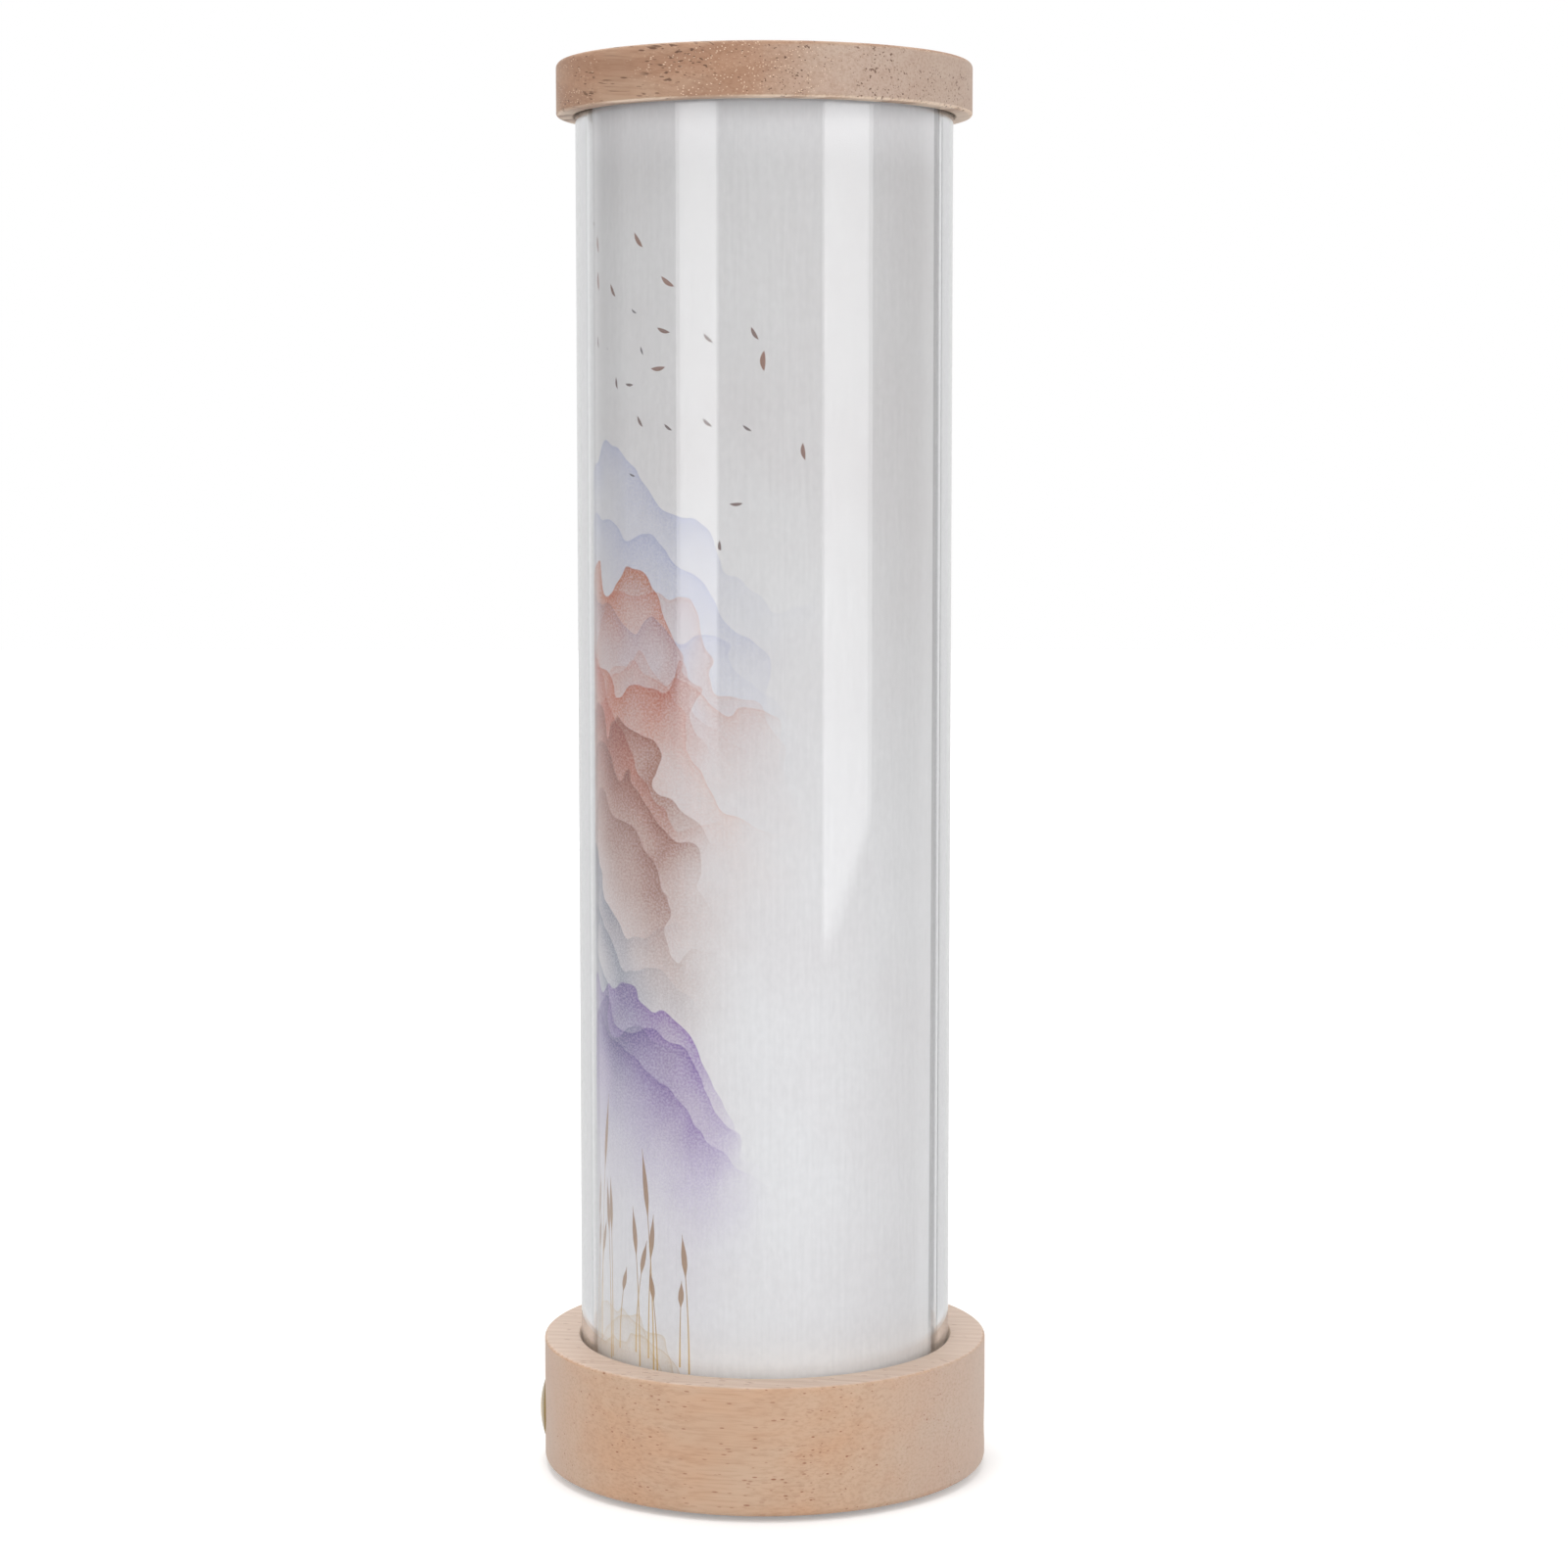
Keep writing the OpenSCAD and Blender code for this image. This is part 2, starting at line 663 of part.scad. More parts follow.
module inlet_terminals() color("gold") for (s = [-1, 1])
    translate([s * terminal_x, inlet_end_y - terminal_size[1] / 2, inlet_z]) cube(terminal_size, center = true);

module power_leads() color("crimson") for (i = [0, 1]) {
    side = i == 0 ? -1 : 1;
    start = [side * terminal_x, inlet_end_y - terminal_size[1], inlet_z];
    lead(lead_route(start, [0, -1, 0], power_pads[i], [0, 0, 1], power_bow));
}

base_body();
bottom_cover();
cover_screws();
foot_pads();
tube();
print_film();
top_cap();
touch_button();
touch_nut();
touch_lug();
touch_lead();
seat_ring();
seat_screws();
diffuser();
light_board();
light_chips();
light_screws();
light_leads();
driver_board();
driver_tape();
touch_chip();
dimmer_transistor();
smoothing_capacitor();
inlet_body();
inlet_nut();
inlet_shell();
inlet_tongue();
inlet_terminals();
power_leads();
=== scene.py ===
# %% [markdown]
# # A touch table lamp, finish by finish
# The lamp is a clear tube that stands between a turned wooden base and a loose wooden cap. A printed film
# is rolled up inside the tube, and a brass button on the side of the base works the light. The rigid pieces
# come ready made from the CAD model. This lesson adds what that model can't bring along: the finishes, the
# film with its print, the light and the camera.

# %% Load the lamp
import json
from math import cos, exp, pi, radians, sin

import bmesh
import bpy
from mathutils import Matrix, Vector


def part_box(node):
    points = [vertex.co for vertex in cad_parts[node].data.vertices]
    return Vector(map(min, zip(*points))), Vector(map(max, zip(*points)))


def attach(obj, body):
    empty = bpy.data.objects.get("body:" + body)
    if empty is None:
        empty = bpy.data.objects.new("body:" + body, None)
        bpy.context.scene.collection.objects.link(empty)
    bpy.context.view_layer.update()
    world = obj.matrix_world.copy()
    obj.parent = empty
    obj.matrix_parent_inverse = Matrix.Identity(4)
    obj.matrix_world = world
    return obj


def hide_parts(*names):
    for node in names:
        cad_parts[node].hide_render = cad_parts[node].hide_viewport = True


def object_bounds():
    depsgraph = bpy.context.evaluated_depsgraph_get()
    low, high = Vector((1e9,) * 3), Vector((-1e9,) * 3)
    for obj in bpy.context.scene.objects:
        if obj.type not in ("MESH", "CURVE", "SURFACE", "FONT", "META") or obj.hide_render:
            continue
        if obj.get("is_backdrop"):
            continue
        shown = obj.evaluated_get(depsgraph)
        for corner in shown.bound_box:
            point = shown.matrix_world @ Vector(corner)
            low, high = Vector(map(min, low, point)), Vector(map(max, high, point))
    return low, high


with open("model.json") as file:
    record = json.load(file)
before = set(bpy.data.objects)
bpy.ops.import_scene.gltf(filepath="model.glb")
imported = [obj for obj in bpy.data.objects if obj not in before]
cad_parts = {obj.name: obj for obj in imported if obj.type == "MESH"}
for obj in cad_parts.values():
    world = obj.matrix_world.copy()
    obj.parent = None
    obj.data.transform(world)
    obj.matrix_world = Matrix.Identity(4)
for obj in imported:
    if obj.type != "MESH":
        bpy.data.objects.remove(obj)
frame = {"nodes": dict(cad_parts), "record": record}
cad_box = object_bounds()
scene = bpy.context.scene
scene.view_settings.view_transform = "Standard"
print("size in mm:", [round(1000 * side, 1) for side in cad_box[1] - cad_box[0]])

# %% [markdown]
# ## The camera
# The lamp is seen from its +X side, from a little above the middle of the tube, with the button at the left
# edge. A camera could be placed by eye, but the outlines of base, tube and cap are three circles of known
# size. Their width and bulge fix the distance, the height, the tilt and the focal length, so these are
# simply written down here.

# %% Camera
IMAGE_SIDE = 1601
FOCAL_PIXELS = 3565.6
SENSOR_WIDTH = 36
CAMERA_PLACE = (0.9364, 0.0052, 0.2733)
CAMERA_DIP, CAMERA_TURN = 5.36, 90

lens = bpy.data.cameras.new("lens")
lens.sensor_width = SENSOR_WIDTH
lens.lens = FOCAL_PIXELS * lens.sensor_width / IMAGE_SIDE
camera = bpy.data.objects.new("camera", lens)
camera.location = CAMERA_PLACE
camera.rotation_euler = (radians(90 - CAMERA_DIP), 0, radians(CAMERA_TURN))
scene.collection.objects.link(camera)
scene.camera = camera
print("lens in mm:", round(lens.lens, 1))

# %% [markdown]
# ## Building shaders from small words
# A shader is a graph of nodes, and a graph that is wired by hand in code soon hides what it does. A few
# small helpers keep it readable: they place a node and fill its sockets, do arithmetic with numbers and
# vectors, fade from one value to another, and lay a colour over another. A socket that is handed in gets
# linked, and anything else is set as a plain value.

# %% Helpers for nodes
def wire(tree, node, sockets):
    for key, value in sockets.items():
        if isinstance(value, bpy.types.NodeSocket):
            tree.links.new(value, node.inputs[key])
        else:
            node.inputs[key].default_value = value


def place(tree, kind, inputs=None, **settings):
    made = tree.nodes.new("ShaderNode" + kind)
    for name, value in settings.items():
        setattr(made, name, value)
    wire(tree, made, inputs or {})
    return made


def calc(tree, operation, *terms):
    return place(tree, "Math", dict(enumerate(terms)), operation=operation).outputs[0]


def times(tree, product, *factors):
    for factor in factors:
        product = calc(tree, "MULTIPLY", product, factor)
    return product


def vector(tree, operation, *terms):
    made = place(tree, "VectorMath", dict(enumerate(terms)), operation=operation)
    return made.outputs["Value" if operation in ("LENGTH", "DOT_PRODUCT") else "Vector"]


def split(tree, spot):
    return place(tree, "SeparateXYZ", {0: spot}).outputs


def own_place(tree):
    return place(tree, "TexCoord").outputs["Object"]


def between(tree, value, low, high, from_value=0.0, to_value=1.0):
    limits = {"Value": value, "From Min": low, "From Max": high, "To Min": from_value, "To Max": to_value}
    return place(tree, "MapRange", limits, interpolation_type="SMOOTHSTEP").outputs[0]


def lay(tree, amount, under, over, blend="MIX"):
    sockets = {0: amount, 6: under, 7: over}
    return place(tree, "Mix", sockets, data_type="RGBA", blend_type=blend).outputs[2]


print("helpers: wire, place, calc, times, vector, split, own_place, between, lay")

# %% [markdown]
# ## A white studio
# The lamp stands in front of plain white. Flooding the scene with light until the backdrop clips would also
# bleach the lamp. So the world is only bright where it is looked at: by the camera, or in the gloss and the
# glass. Light Path tells such rays from the ones that carry light to the lamp. The softboxes will stand in
# front, so the world fills in more from behind.

# %% World
WHITE = (1, 1, 1, 1)
FILL, BACK_FILL = 0.56, 1.0
FRONT_X, BACK_X = 0.1, -0.7
FIRST_BOUNCE = 0.5


def seen_by(tree, *rays):
    path = place(tree, "LightPath").outputs
    seen = path[rays[0]]
    for ray in rays[1:]:
        seen = calc(tree, "MAXIMUM", seen, path[ray])
    return times(tree, seen, calc(tree, "LESS_THAN", path["Diffuse Depth"], FIRST_BOUNCE))


world = bpy.data.worlds.new("studio")
scene.world = world
world.use_nodes = True
tree = world.node_tree
looked_at = seen_by(tree, "Is Camera Ray", "Is Glossy Ray", "Is Transmission Ray")
fill = between(tree, split(tree, own_place(tree))["X"], FRONT_X, BACK_X, FILL, BACK_FILL)
glow = calc(tree, "MULTIPLY_ADD", looked_at, calc(tree, "SUBTRACT", 1, fill), fill)
wire(tree, tree.nodes["Background"], {"Color": WHITE, "Strength": glow})
print("fill light of", FILL, "from the front and", BACK_FILL, "from behind")

# %% [markdown]
# ## A paper floor
# The floor is white paper. It could simply glow, but then the lamp would cast no shadow and seem to float.
# So only a part of its brightness is glow, more of it far from the lamp, and soft shading brings the rest.
# The glow is there for the camera alone. Gloss and glass see plain white.

# %% Floor
FLOOR_HALF = 4
FLOOR_GREY = (0.84, 0.84, 0.84, 1)
NEAR, FAR = 0.1, 1.0
NEAR_GLOW, FAR_GLOW = 0.27, 0.68


def stage_paint(name):
    paint = bpy.data.materials.new(name)
    paint.use_nodes = True
    paint.node_tree.nodes.remove(paint.node_tree.nodes["Principled BSDF"])
    return paint, paint.node_tree


def show(tree, shader):
    tree.links.new(shader, tree.nodes["Material Output"].inputs["Surface"])


def as_object(name, shape):
    made = bpy.data.objects.new(name, bpy.data.meshes.new(name))
    shape.to_mesh(made.data)
    shape.free()
    scene.collection.objects.link(made)
    return made


paper, tree = stage_paint("floor_paper")
shaded = place(tree, "BsdfDiffuse", {"Color": FLOOR_GREY}).outputs[0]
away = vector(tree, "LENGTH", own_place(tree))
lift = times(tree, seen_by(tree, "Is Camera Ray"), between(tree, away, NEAR, FAR, NEAR_GLOW, FAR_GLOW))
haze = place(tree, "Emission", {"Strength": lift}).outputs[0]
lifted = place(tree, "AddShader", {0: shaded, 1: haze}).outputs[0]
white = place(tree, "Emission", {"Strength": 1.0}).outputs[0]
mirrored = seen_by(tree, "Is Glossy Ray", "Is Transmission Ray")
show(tree, place(tree, "MixShader", {0: mirrored, 1: lifted, 2: white}).outputs[0])

shape = bmesh.new()
bmesh.ops.create_grid(shape, x_segments=1, y_segments=1, size=FLOOR_HALF)
floor = as_object("floor", shape)
floor.data.materials.append(paper)
floor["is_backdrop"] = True
print("floor of", 2 * FLOOR_HALF, "m at z", floor.location.z)

# %% [markdown]
# ## Softboxes
# The tube shows two upright bands of light, which are the reflections of two tall softboxes, one on each
# side of the camera. On a round mirror a band at angle a comes from a light at twice that angle, so the
# bands tell where the softboxes stand and how wide they are. Their light dies away at the foot, so the bands
# fade out, too, and the right one is dimmer over its lower part. A third box hangs over the lamp and lights
# the flat top of the base. Nothing mirrors that one, so it is hidden from gloss.

# %% Softboxes
WATTS_PER_AREA = 4
DIM_UP_TO = 0.4


def softbox(name, azimuth, climb, away, size, middle, glow, fade=None, slant=0.0, dim=1.0):
    around, up = radians(azimuth), radians(climb)
    direction = Vector((cos(around) * cos(up), sin(around) * cos(up), sin(up)))
    panel = bpy.data.lights.new(name, "AREA")
    panel.shape = "RECTANGLE"
    panel.size, panel.size_y = size
    panel.energy = WATTS_PER_AREA * size[0] * size[1] * glow
    lamp = bpy.data.objects.new(name, panel)
    lamp.location = direction * away + Vector((0, 0, middle))
    lamp.rotation_euler = direction.to_track_quat("Z", "Y").to_euler()
    lamp.visible_camera = False
    lamp.visible_glossy = fade is not None
    scene.collection.objects.link(lamp)
    if fade:
        panel.use_nodes = True
        tree = panel.node_tree
        spot = split(tree, place(tree, "NewGeometry").outputs["Parametric"])
        rise = calc(tree, "MULTIPLY_ADD", spot["X"], slant, spot["Y"])
        slope = between(tree, rise, 0.0, DIM_UP_TO, dim, 1.0)
        wire(tree, tree.nodes["Emission"], {"Strength": times(tree, between(tree, rise, *fade), slope)})
    return lamp


softboxes = (
    softbox("left_softbox", -40.6, 0, 1.15, (0.52, 1.04), 0.58, 2.0, fade=(0.0, 0.15)),
    softbox(
        "right_softbox", 51.5, 0, 0.95, (0.535, 0.9), 0.448, 1.93,
        fade=(0.0, 0.03), slant=-0.08, dim=0.66,
    ),
    softbox("top_softbox", 90, 94, 1.4, (1.8, 0.5), 0.1, 2.8),
)
print("softboxes in W:", [round(lamp.data.energy, 1) for lamp in softboxes])

# %% [markdown]
# ## A dark card for the gloss
# Polished metal in a white room looks like yellow paint, because it has nothing dark to mirror.
# Photographers stand a dark card beside the camera for it. This one darkens from its foot upwards and from
# its sides inwards, so that its reflection has no hard end. It is hidden from the camera, casts no shadow
# and sheds no light: only gloss knows of it.

# %% Dark card
CARD_TALL, CARD_WIDE = 1.2, 0.75
CARD_AZIMUTH, CARD_AWAY = -106, 1.0
CARD_SIDES, CARD_FOOT = (0.05, CARD_WIDE / 2), (0.03, 0.3)
CARD_DARK = 0.04

dark_card, tree = stage_paint("dark_card")
turned = place(tree, "Mapping", {"Vector": own_place(tree), "Rotation": (0, 0, radians(-CARD_AZIMUTH))})
spot = split(tree, turned.outputs[0])
aside = between(tree, calc(tree, "ABSOLUTE", spot["Y"]), *CARD_SIDES)
bright = calc(tree, "MAXIMUM", between(tree, spot["Z"], *CARD_FOOT, 1.0, CARD_DARK), aside)
show(tree, place(tree, "Emission", {"Strength": bright}).outputs[0])

upright = Matrix.Translation((CARD_AWAY, 0, CARD_TALL / 2)) @ Matrix.Rotation(radians(90), 4, "Y")
stand = Matrix.Rotation(radians(CARD_AZIMUTH), 4, "Z") @ upright
flat_card = Matrix.Diagonal((CARD_TALL / 2, CARD_WIDE / 2, 1, 1))
shape = bmesh.new()
bmesh.ops.create_grid(shape, x_segments=1, y_segments=1, size=1, matrix=stand @ flat_card)
card = as_object("dark_card", shape)
card.data.materials.append(dark_card)
card.visible_camera = card.visible_diffuse = card.visible_transmission = card.visible_shadow = False
card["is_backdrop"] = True
print("dark card of", CARD_WIDE, "by", CARD_TALL, "m")

# %% [markdown]
# ## Helpers for patterns
# Wood, print and plastics are all built from a few patterns: noise, scattered cells, and either of them
# drawn out along one direction. An effect that is used more than once becomes a node group with named
# sockets, which is built once and placed with its own values, much as a function is called in code.

# %% Helpers for groups and patterns
def new_group(name, inputs, outputs):
    group = bpy.data.node_groups.new(name, "ShaderNodeTree")
    for in_out, sockets in (("INPUT", inputs), ("OUTPUT", outputs)):
        for label, kind in sockets.items():
            group.interface.new_socket(name=label, in_out=in_out, socket_type="NodeSocket" + kind)
    return group, group.nodes.new("NodeGroupInput").outputs, group.nodes.new("NodeGroupOutput")


def stretched(tree, spot, scale):
    return vector(tree, "MULTIPLY", spot, scale)


def noise(tree, spot, scale, detail=2.0, roughness=0.5):
    settings = {"Vector": spot, "Scale": scale, "Detail": detail, "Roughness": roughness}
    return place(tree, "TexNoise", settings).outputs


def noise_along(tree, value, scale, detail):
    settings = {"W": value, "Scale": scale, "Detail": detail}
    return place(tree, "TexNoise", settings, noise_dimensions="1D").outputs[0]


def scattered(tree, spot):
    cells = place(tree, "TexVoronoi", {"Vector": spot, "Scale": 1}).outputs
    return cells["Distance"], place(tree, "SeparateColor", {0: cells["Color"]}).outputs


def from_axis(tree, spot):
    level = place(tree, "CombineXYZ", {0: spot["X"], 1: spot["Z"]}).outputs[0]
    return vector(tree, "LENGTH", level)


print("patterns: new_group, stretched, noise, noise_along, scattered, from_axis")

# %% [markdown]
# ## Timber
# Base and cap are turned from a pale, open-pored hardwood. A flat picture of wood would show stripes on
# every side, but a real block has end grain where the fibres stop. So the wood is a solid pattern in space:
# growth rings round a far-off heart, fine fibres along the grain, and pores that are long thin cells. Where
# the lathe cuts across the cells they show as dots, and where it cuts along them they show as dashes. Both
# woods use this one group. The grain runs along Y, so the patterns are drawn out in that direction.

# %% The timber group
DRIFT_STRETCH, DRIFT_SCALE = (1, 0.25, 1), 24
RING_RISE, RING_END = (0.1, 0.8), (1.0, 0.84)
FIBRE_CELLS, STREAK_CELLS, FLECK_CELLS = (1500, 42, 1500), (1300, 34, 1300), (2000, 800, 2000)
BLOTCH_STRETCH, BLOTCH_SCALE = (1, 0.35, 1), 55
CROWD_STRETCH, CROWD_SCALE = (1, 0.4, 1), 75
CROWD_NOISE, CROWD_SPAN = (0.36, 0.66), (0.3, 1.7)
PORE_LEAST, PORE_MORE, PORE_CORE = 0.2, 0.16, 0.5
PORE_SHALLOW, PORE_DEEPER = 0.4, 0.6
STREAK_EDGE, STREAK_CROWD = (0.65, 0.72), (0.5, 1.2)
FLECK_CHANCE, FLECK_EDGE = 0.45, (0.36, 0.16)
FIBRE_RELIEF = 0.3

timber, given, gives = new_group(
    "timber",
    {
        "Vector": "Vector", "Ring Spacing": "Float", "Drift": "Float",
        "Pore Cells": "Vector", "Pore Share": "Float",
    },
    {
        "Figure": "Float", "Fibre": "Float", "Pores": "Float", "Flecks": "Float",
        "Streaks": "Float", "Blotch": "Float", "Height": "Float",
    },
)
block = given["Vector"]

# Growth rings: the distance from the heart, bent by slow noise that runs along the grain
drift = noise(timber, stretched(timber, block, DRIFT_STRETCH), DRIFT_SCALE, detail=3)["Fac"]
bent = calc(timber, "MULTIPLY_ADD", drift, given["Drift"], from_axis(timber, split(timber, block)))
ring = calc(timber, "FRACT", calc(timber, "DIVIDE", bent, given["Ring Spacing"]))
figure = times(timber, between(timber, ring, *RING_RISE), between(timber, ring, *RING_END))

# Fibres, a few long dark streaks and blotches of colour
fibre = noise(timber, stretched(timber, block, FIBRE_CELLS), 1, detail=3, roughness=0.6)["Fac"]
crack = noise(timber, stretched(timber, block, STREAK_CELLS), 1, detail=1)["Fac"]
blotch = stretched(timber, block, BLOTCH_STRETCH)
blotch = noise(timber, blotch, BLOTCH_SCALE, detail=3, roughness=0.6)["Fac"]

# Pores thin out and crowd together, and each has its own width and depth
middle, chance = scattered(timber, stretched(timber, block, given["Pore Cells"]))
thick = noise(timber, stretched(timber, block, CROWD_STRETCH), CROWD_SCALE)["Fac"]
crowd = between(timber, thick, *CROWD_NOISE, *CROWD_SPAN)
picked = calc(timber, "LESS_THAN", chance[0], times(timber, given["Pore Share"], crowd))
reach = calc(timber, "MULTIPLY_ADD", chance[1], PORE_MORE, PORE_LEAST)
hollow = between(timber, middle, reach, times(timber, reach, PORE_CORE))
deep = calc(timber, "MULTIPLY_ADD", chance[2], PORE_DEEPER, PORE_SHALLOW)
pores = times(timber, picked, hollow, deep)
streaks = times(timber, between(timber, crack, *STREAK_EDGE), between(timber, crowd, *STREAK_CROWD))

# Pale flecks where the cells are cut at a slant and catch the light
middle, chance = scattered(timber, stretched(timber, block, FLECK_CELLS))
lucky = calc(timber, "LESS_THAN", chance[0], FLECK_CHANCE)
flecks = times(timber, lucky, between(timber, middle, *FLECK_EDGE))

dents = calc(timber, "MAXIMUM", pores, streaks)
relief = calc(timber, "SUBTRACT", times(timber, fibre, FIBRE_RELIEF), dents)
wire(timber, gives, {
    "Figure": figure, "Fibre": fibre, "Pores": pores, "Flecks": flecks,
    "Streaks": streaks, "Blotch": blotch, "Height": relief,
})
print("timber group:", len(timber.nodes), "nodes")

# %% [markdown]
# ## From timber to a finish
# A finish is one material with its Principled shader. The timber group only says where rings, fibres and
# pores lie, so the colours are laid over each other from the ground up: first the block and its ends, then
# the faces painted paler for light, then the marks on it. Tops are sanded and painted paler for the light
# and sheen from above, undersides are painted paler for light from below, and walls that face inwards are
# bare and painted paler for light that reaches into the socket. The normal tells which way a face looks, and
# so which faces get painted light and whether the grain is cut across or along there.

# %% A wood finish
ENDS_PORES, ENDS_GREY, ENDS_FIGURE = (0.35, 0.85), (0.5, 1.0), (0.5, 0.85)
END_SHARE, END_FIGURE = 0.7, 0.08
SANDED_AND_LIT_UP, LIT_FACING_DOWN, BARE_AND_LIT_IN = (0.6, 0.95), (-0.2, -0.7), (-0.03, -0.045)
SLANT_FROM, SLANT_TO = (0.0, 0.25), (0.97, 0.8)
FLECK_BANDS, FLECK_LEAST = (0.0, 0.6), 0.3
BLOTCH_EDGE, FIBRE_EDGE, FIBRE_SHEEN = (0.3, 0.7), (0.4, 0.72), (0.2, 0.8)
WOOD_ROUGH = (0.62, 0.5)
WOOD_BUMP, WOOD_RELIEF = 0.35, 0.00012


def new_finish(name, **plain):
    material = bpy.data.materials.new(name)
    material.use_nodes = True
    tree = material.node_tree
    shader = tree.nodes["Principled BSDF"]
    wire(tree, shader, {label.replace("_", " "): value for label, value in plain.items()})
    return material, tree, shader


def emboss(tree, height, strength, distance):
    sockets = {"Height": height, "Strength": strength, "Distance": distance}
    return place(tree, "Bump", sockets).outputs[0]


def wood(name, turned, heart, tones, rings, pores, shares):
    material, tree, shader = new_finish(name, Specular_IOR_Level=0.35)
    where = own_place(tree)
    facing = place(tree, "NewGeometry").outputs["Normal"]
    grain = place(tree, "Mapping", {"Vector": where, "Location": heart, "Rotation": turned}).outputs[0]
    across = place(tree, "Mapping", {"Vector": facing, "Rotation": turned}, vector_type="VECTOR").outputs[0]
    ends = calc(tree, "ABSOLUTE", split(tree, across)["Y"])
    up = split(tree, facing)["Z"]
    outwards = vector(tree, "DOT_PRODUCT", where, stretched(tree, facing, (1, 1, 0)))
    porous = between(tree, ends, *ENDS_PORES, pores["along"], pores["across"])
    cut = {"Vector": grain, "Pore Cells": pores["cells"], "Pore Share": porous, **rings}
    part = place(tree, "Group", cut, node_tree=timber).outputs

    # The ground: the colours of the block, its grey ends, and painted light, with tops sanded and lit paler,
    # undersides lit paler and inward walls bare and lit paler
    tone = lay(tree, between(tree, part["Blotch"], *BLOTCH_EDGE), tones["pale"], tones["warm"])
    tone = lay(tree, between(tree, ends, *ENDS_GREY, 0.0, END_SHARE), tone, tones["end"])
    tone = lay(tree, between(tree, up, *SANDED_AND_LIT_UP, 0.0, shares["top"]), tone, tones["sanded_and_lit"])
    tone = lay(tree, between(tree, up, *LIT_FACING_DOWN, 0.0, shares["under"]), tone, tones["sanded_and_lit"])
    tone = lay(tree, between(tree, outwards, *BARE_AND_LIT_IN), tone, tones["bare"])
    figure = times(tree, part["Figure"], between(tree, ends, *ENDS_FIGURE, shares["figure"], END_FIGURE))
    tone = lay(tree, figure, tone, tones["late"])

    # The marks on it: fibres, flecks where the cut is slanted, streaks and pores
    thread = between(tree, part["Fibre"], *FIBRE_EDGE, 0.0, shares["fibre"])
    slant = times(tree, between(tree, ends, *SLANT_FROM), between(tree, ends, *SLANT_TO))
    least = FLECK_LEAST * shares["flecks"]
    bands = times(tree, slant, between(tree, part["Figure"], *FLECK_BANDS, least, shares["flecks"]))
    tone = lay(tree, thread, tone, tones["thread"], "MULTIPLY")
    tone = lay(tree, times(tree, part["Flecks"], bands), tone, tones["fleck"])
    tone = lay(tree, times(tree, part["Streaks"], shares["streaks"]), tone, tones["pore"])
    tone = lay(tree, times(tree, part["Pores"], shares["pores"]), tone, tones["pore"])
    wire(tree, shader, {
        "Base Color": tone,
        "Roughness": between(tree, part["Fibre"], *FIBRE_SHEEN, *WOOD_ROUGH),
        "Normal": emboss(tree, part["Height"], WOOD_BUMP, WOOD_RELIEF),
    })
    return material


print("wood finish: bump of", round(1000 * WOOD_RELIEF, 2), "mm")

# %% [markdown]
# ## The two woods
# The base is cut with its grain from left to right. Its top face is sanded paler than its turned side and
# painted paler still for the light and sheen from above, and the bare wall of its socket is painted paler
# again, for light that the acrylic carries down into it. The cap is a darker board that lies askew to the
# base, so its end grain comes round to the front on the right, and its underside is painted pale for light
# from below. The same finish makes both: a turn and the place of the tree's heart set the grain, and each
# wood brings its own tones, rings and pores.

# %% Base wood and cap wood
# The sanded tone is sanded wood with painted light from above, and the bare tone is painted light on the
# walls that face inwards
base_tones = {
    "pale": (0.57, 0.4, 0.285, 1), "warm": (0.57, 0.35, 0.225, 1), "late": (0.49, 0.315, 0.21, 1),
    "end": (0.52, 0.415, 0.355, 1), "sanded_and_lit": (0.735, 0.6, 0.51, 1), "bare": (0.9, 0.75, 0.63, 1),
    "fleck": (0.7, 0.53, 0.4, 1), "pore": (0.24, 0.075, 0.03, 1), "thread": (0.8, 0.74, 0.69, 1),
}
cap_tones = {
    "pale": (0.435, 0.29, 0.2, 1), "warm": (0.385, 0.215, 0.133, 1), "late": (0.32, 0.172, 0.105, 1),
    "end": (0.485, 0.39, 0.33, 1), "sanded_and_lit": (0.74, 0.59, 0.47, 1), "bare": (0.74, 0.59, 0.47, 1),
    "fleck": (0.76, 0.58, 0.43, 1), "pore": (0.1, 0.045, 0.025, 1), "thread": (0.8, 0.74, 0.7, 1),
}
base_rings = {"Ring Spacing": 0.0042, "Drift": 0.014}
cap_rings = {"Ring Spacing": 0.0085, "Drift": 0.03}
base_pores = {"cells": (1200, 280, 1200), "along": 0.3, "across": 0.07}
cap_pores = {"cells": (1300, 200, 1300), "along": 0.55, "across": 0.28}
# top and under set how far tops and undersides take the paler, painted-light tone; the cap's underside is
# painted as if lit from below
base_shares = {
    "figure": 0.2, "fibre": 0.6, "flecks": 0.1, "streaks": 0.2, "pores": 0.85, "top": 0.8, "under": 0.0,
}
cap_shares = {
    "figure": 0.6, "fibre": 0.8, "flecks": 0.75, "streaks": 0.85, "pores": 0.9, "top": 0.4, "under": 0.9,
}
base_turn, base_heart = (0, 0, radians(11)), (0.25, 0, 0.02)
cap_turn, cap_heart = (radians(7), 0, radians(42)), (0.01, 0, -0.3)
finishes = {
    "base_wood": wood("base_wood", base_turn, base_heart, base_tones, base_rings, base_pores, base_shares),
    "cap_wood": wood("cap_wood", cap_turn, cap_heart, cap_tones, cap_rings, cap_pores, cap_shares),
}
print("woods:", ", ".join(finishes))
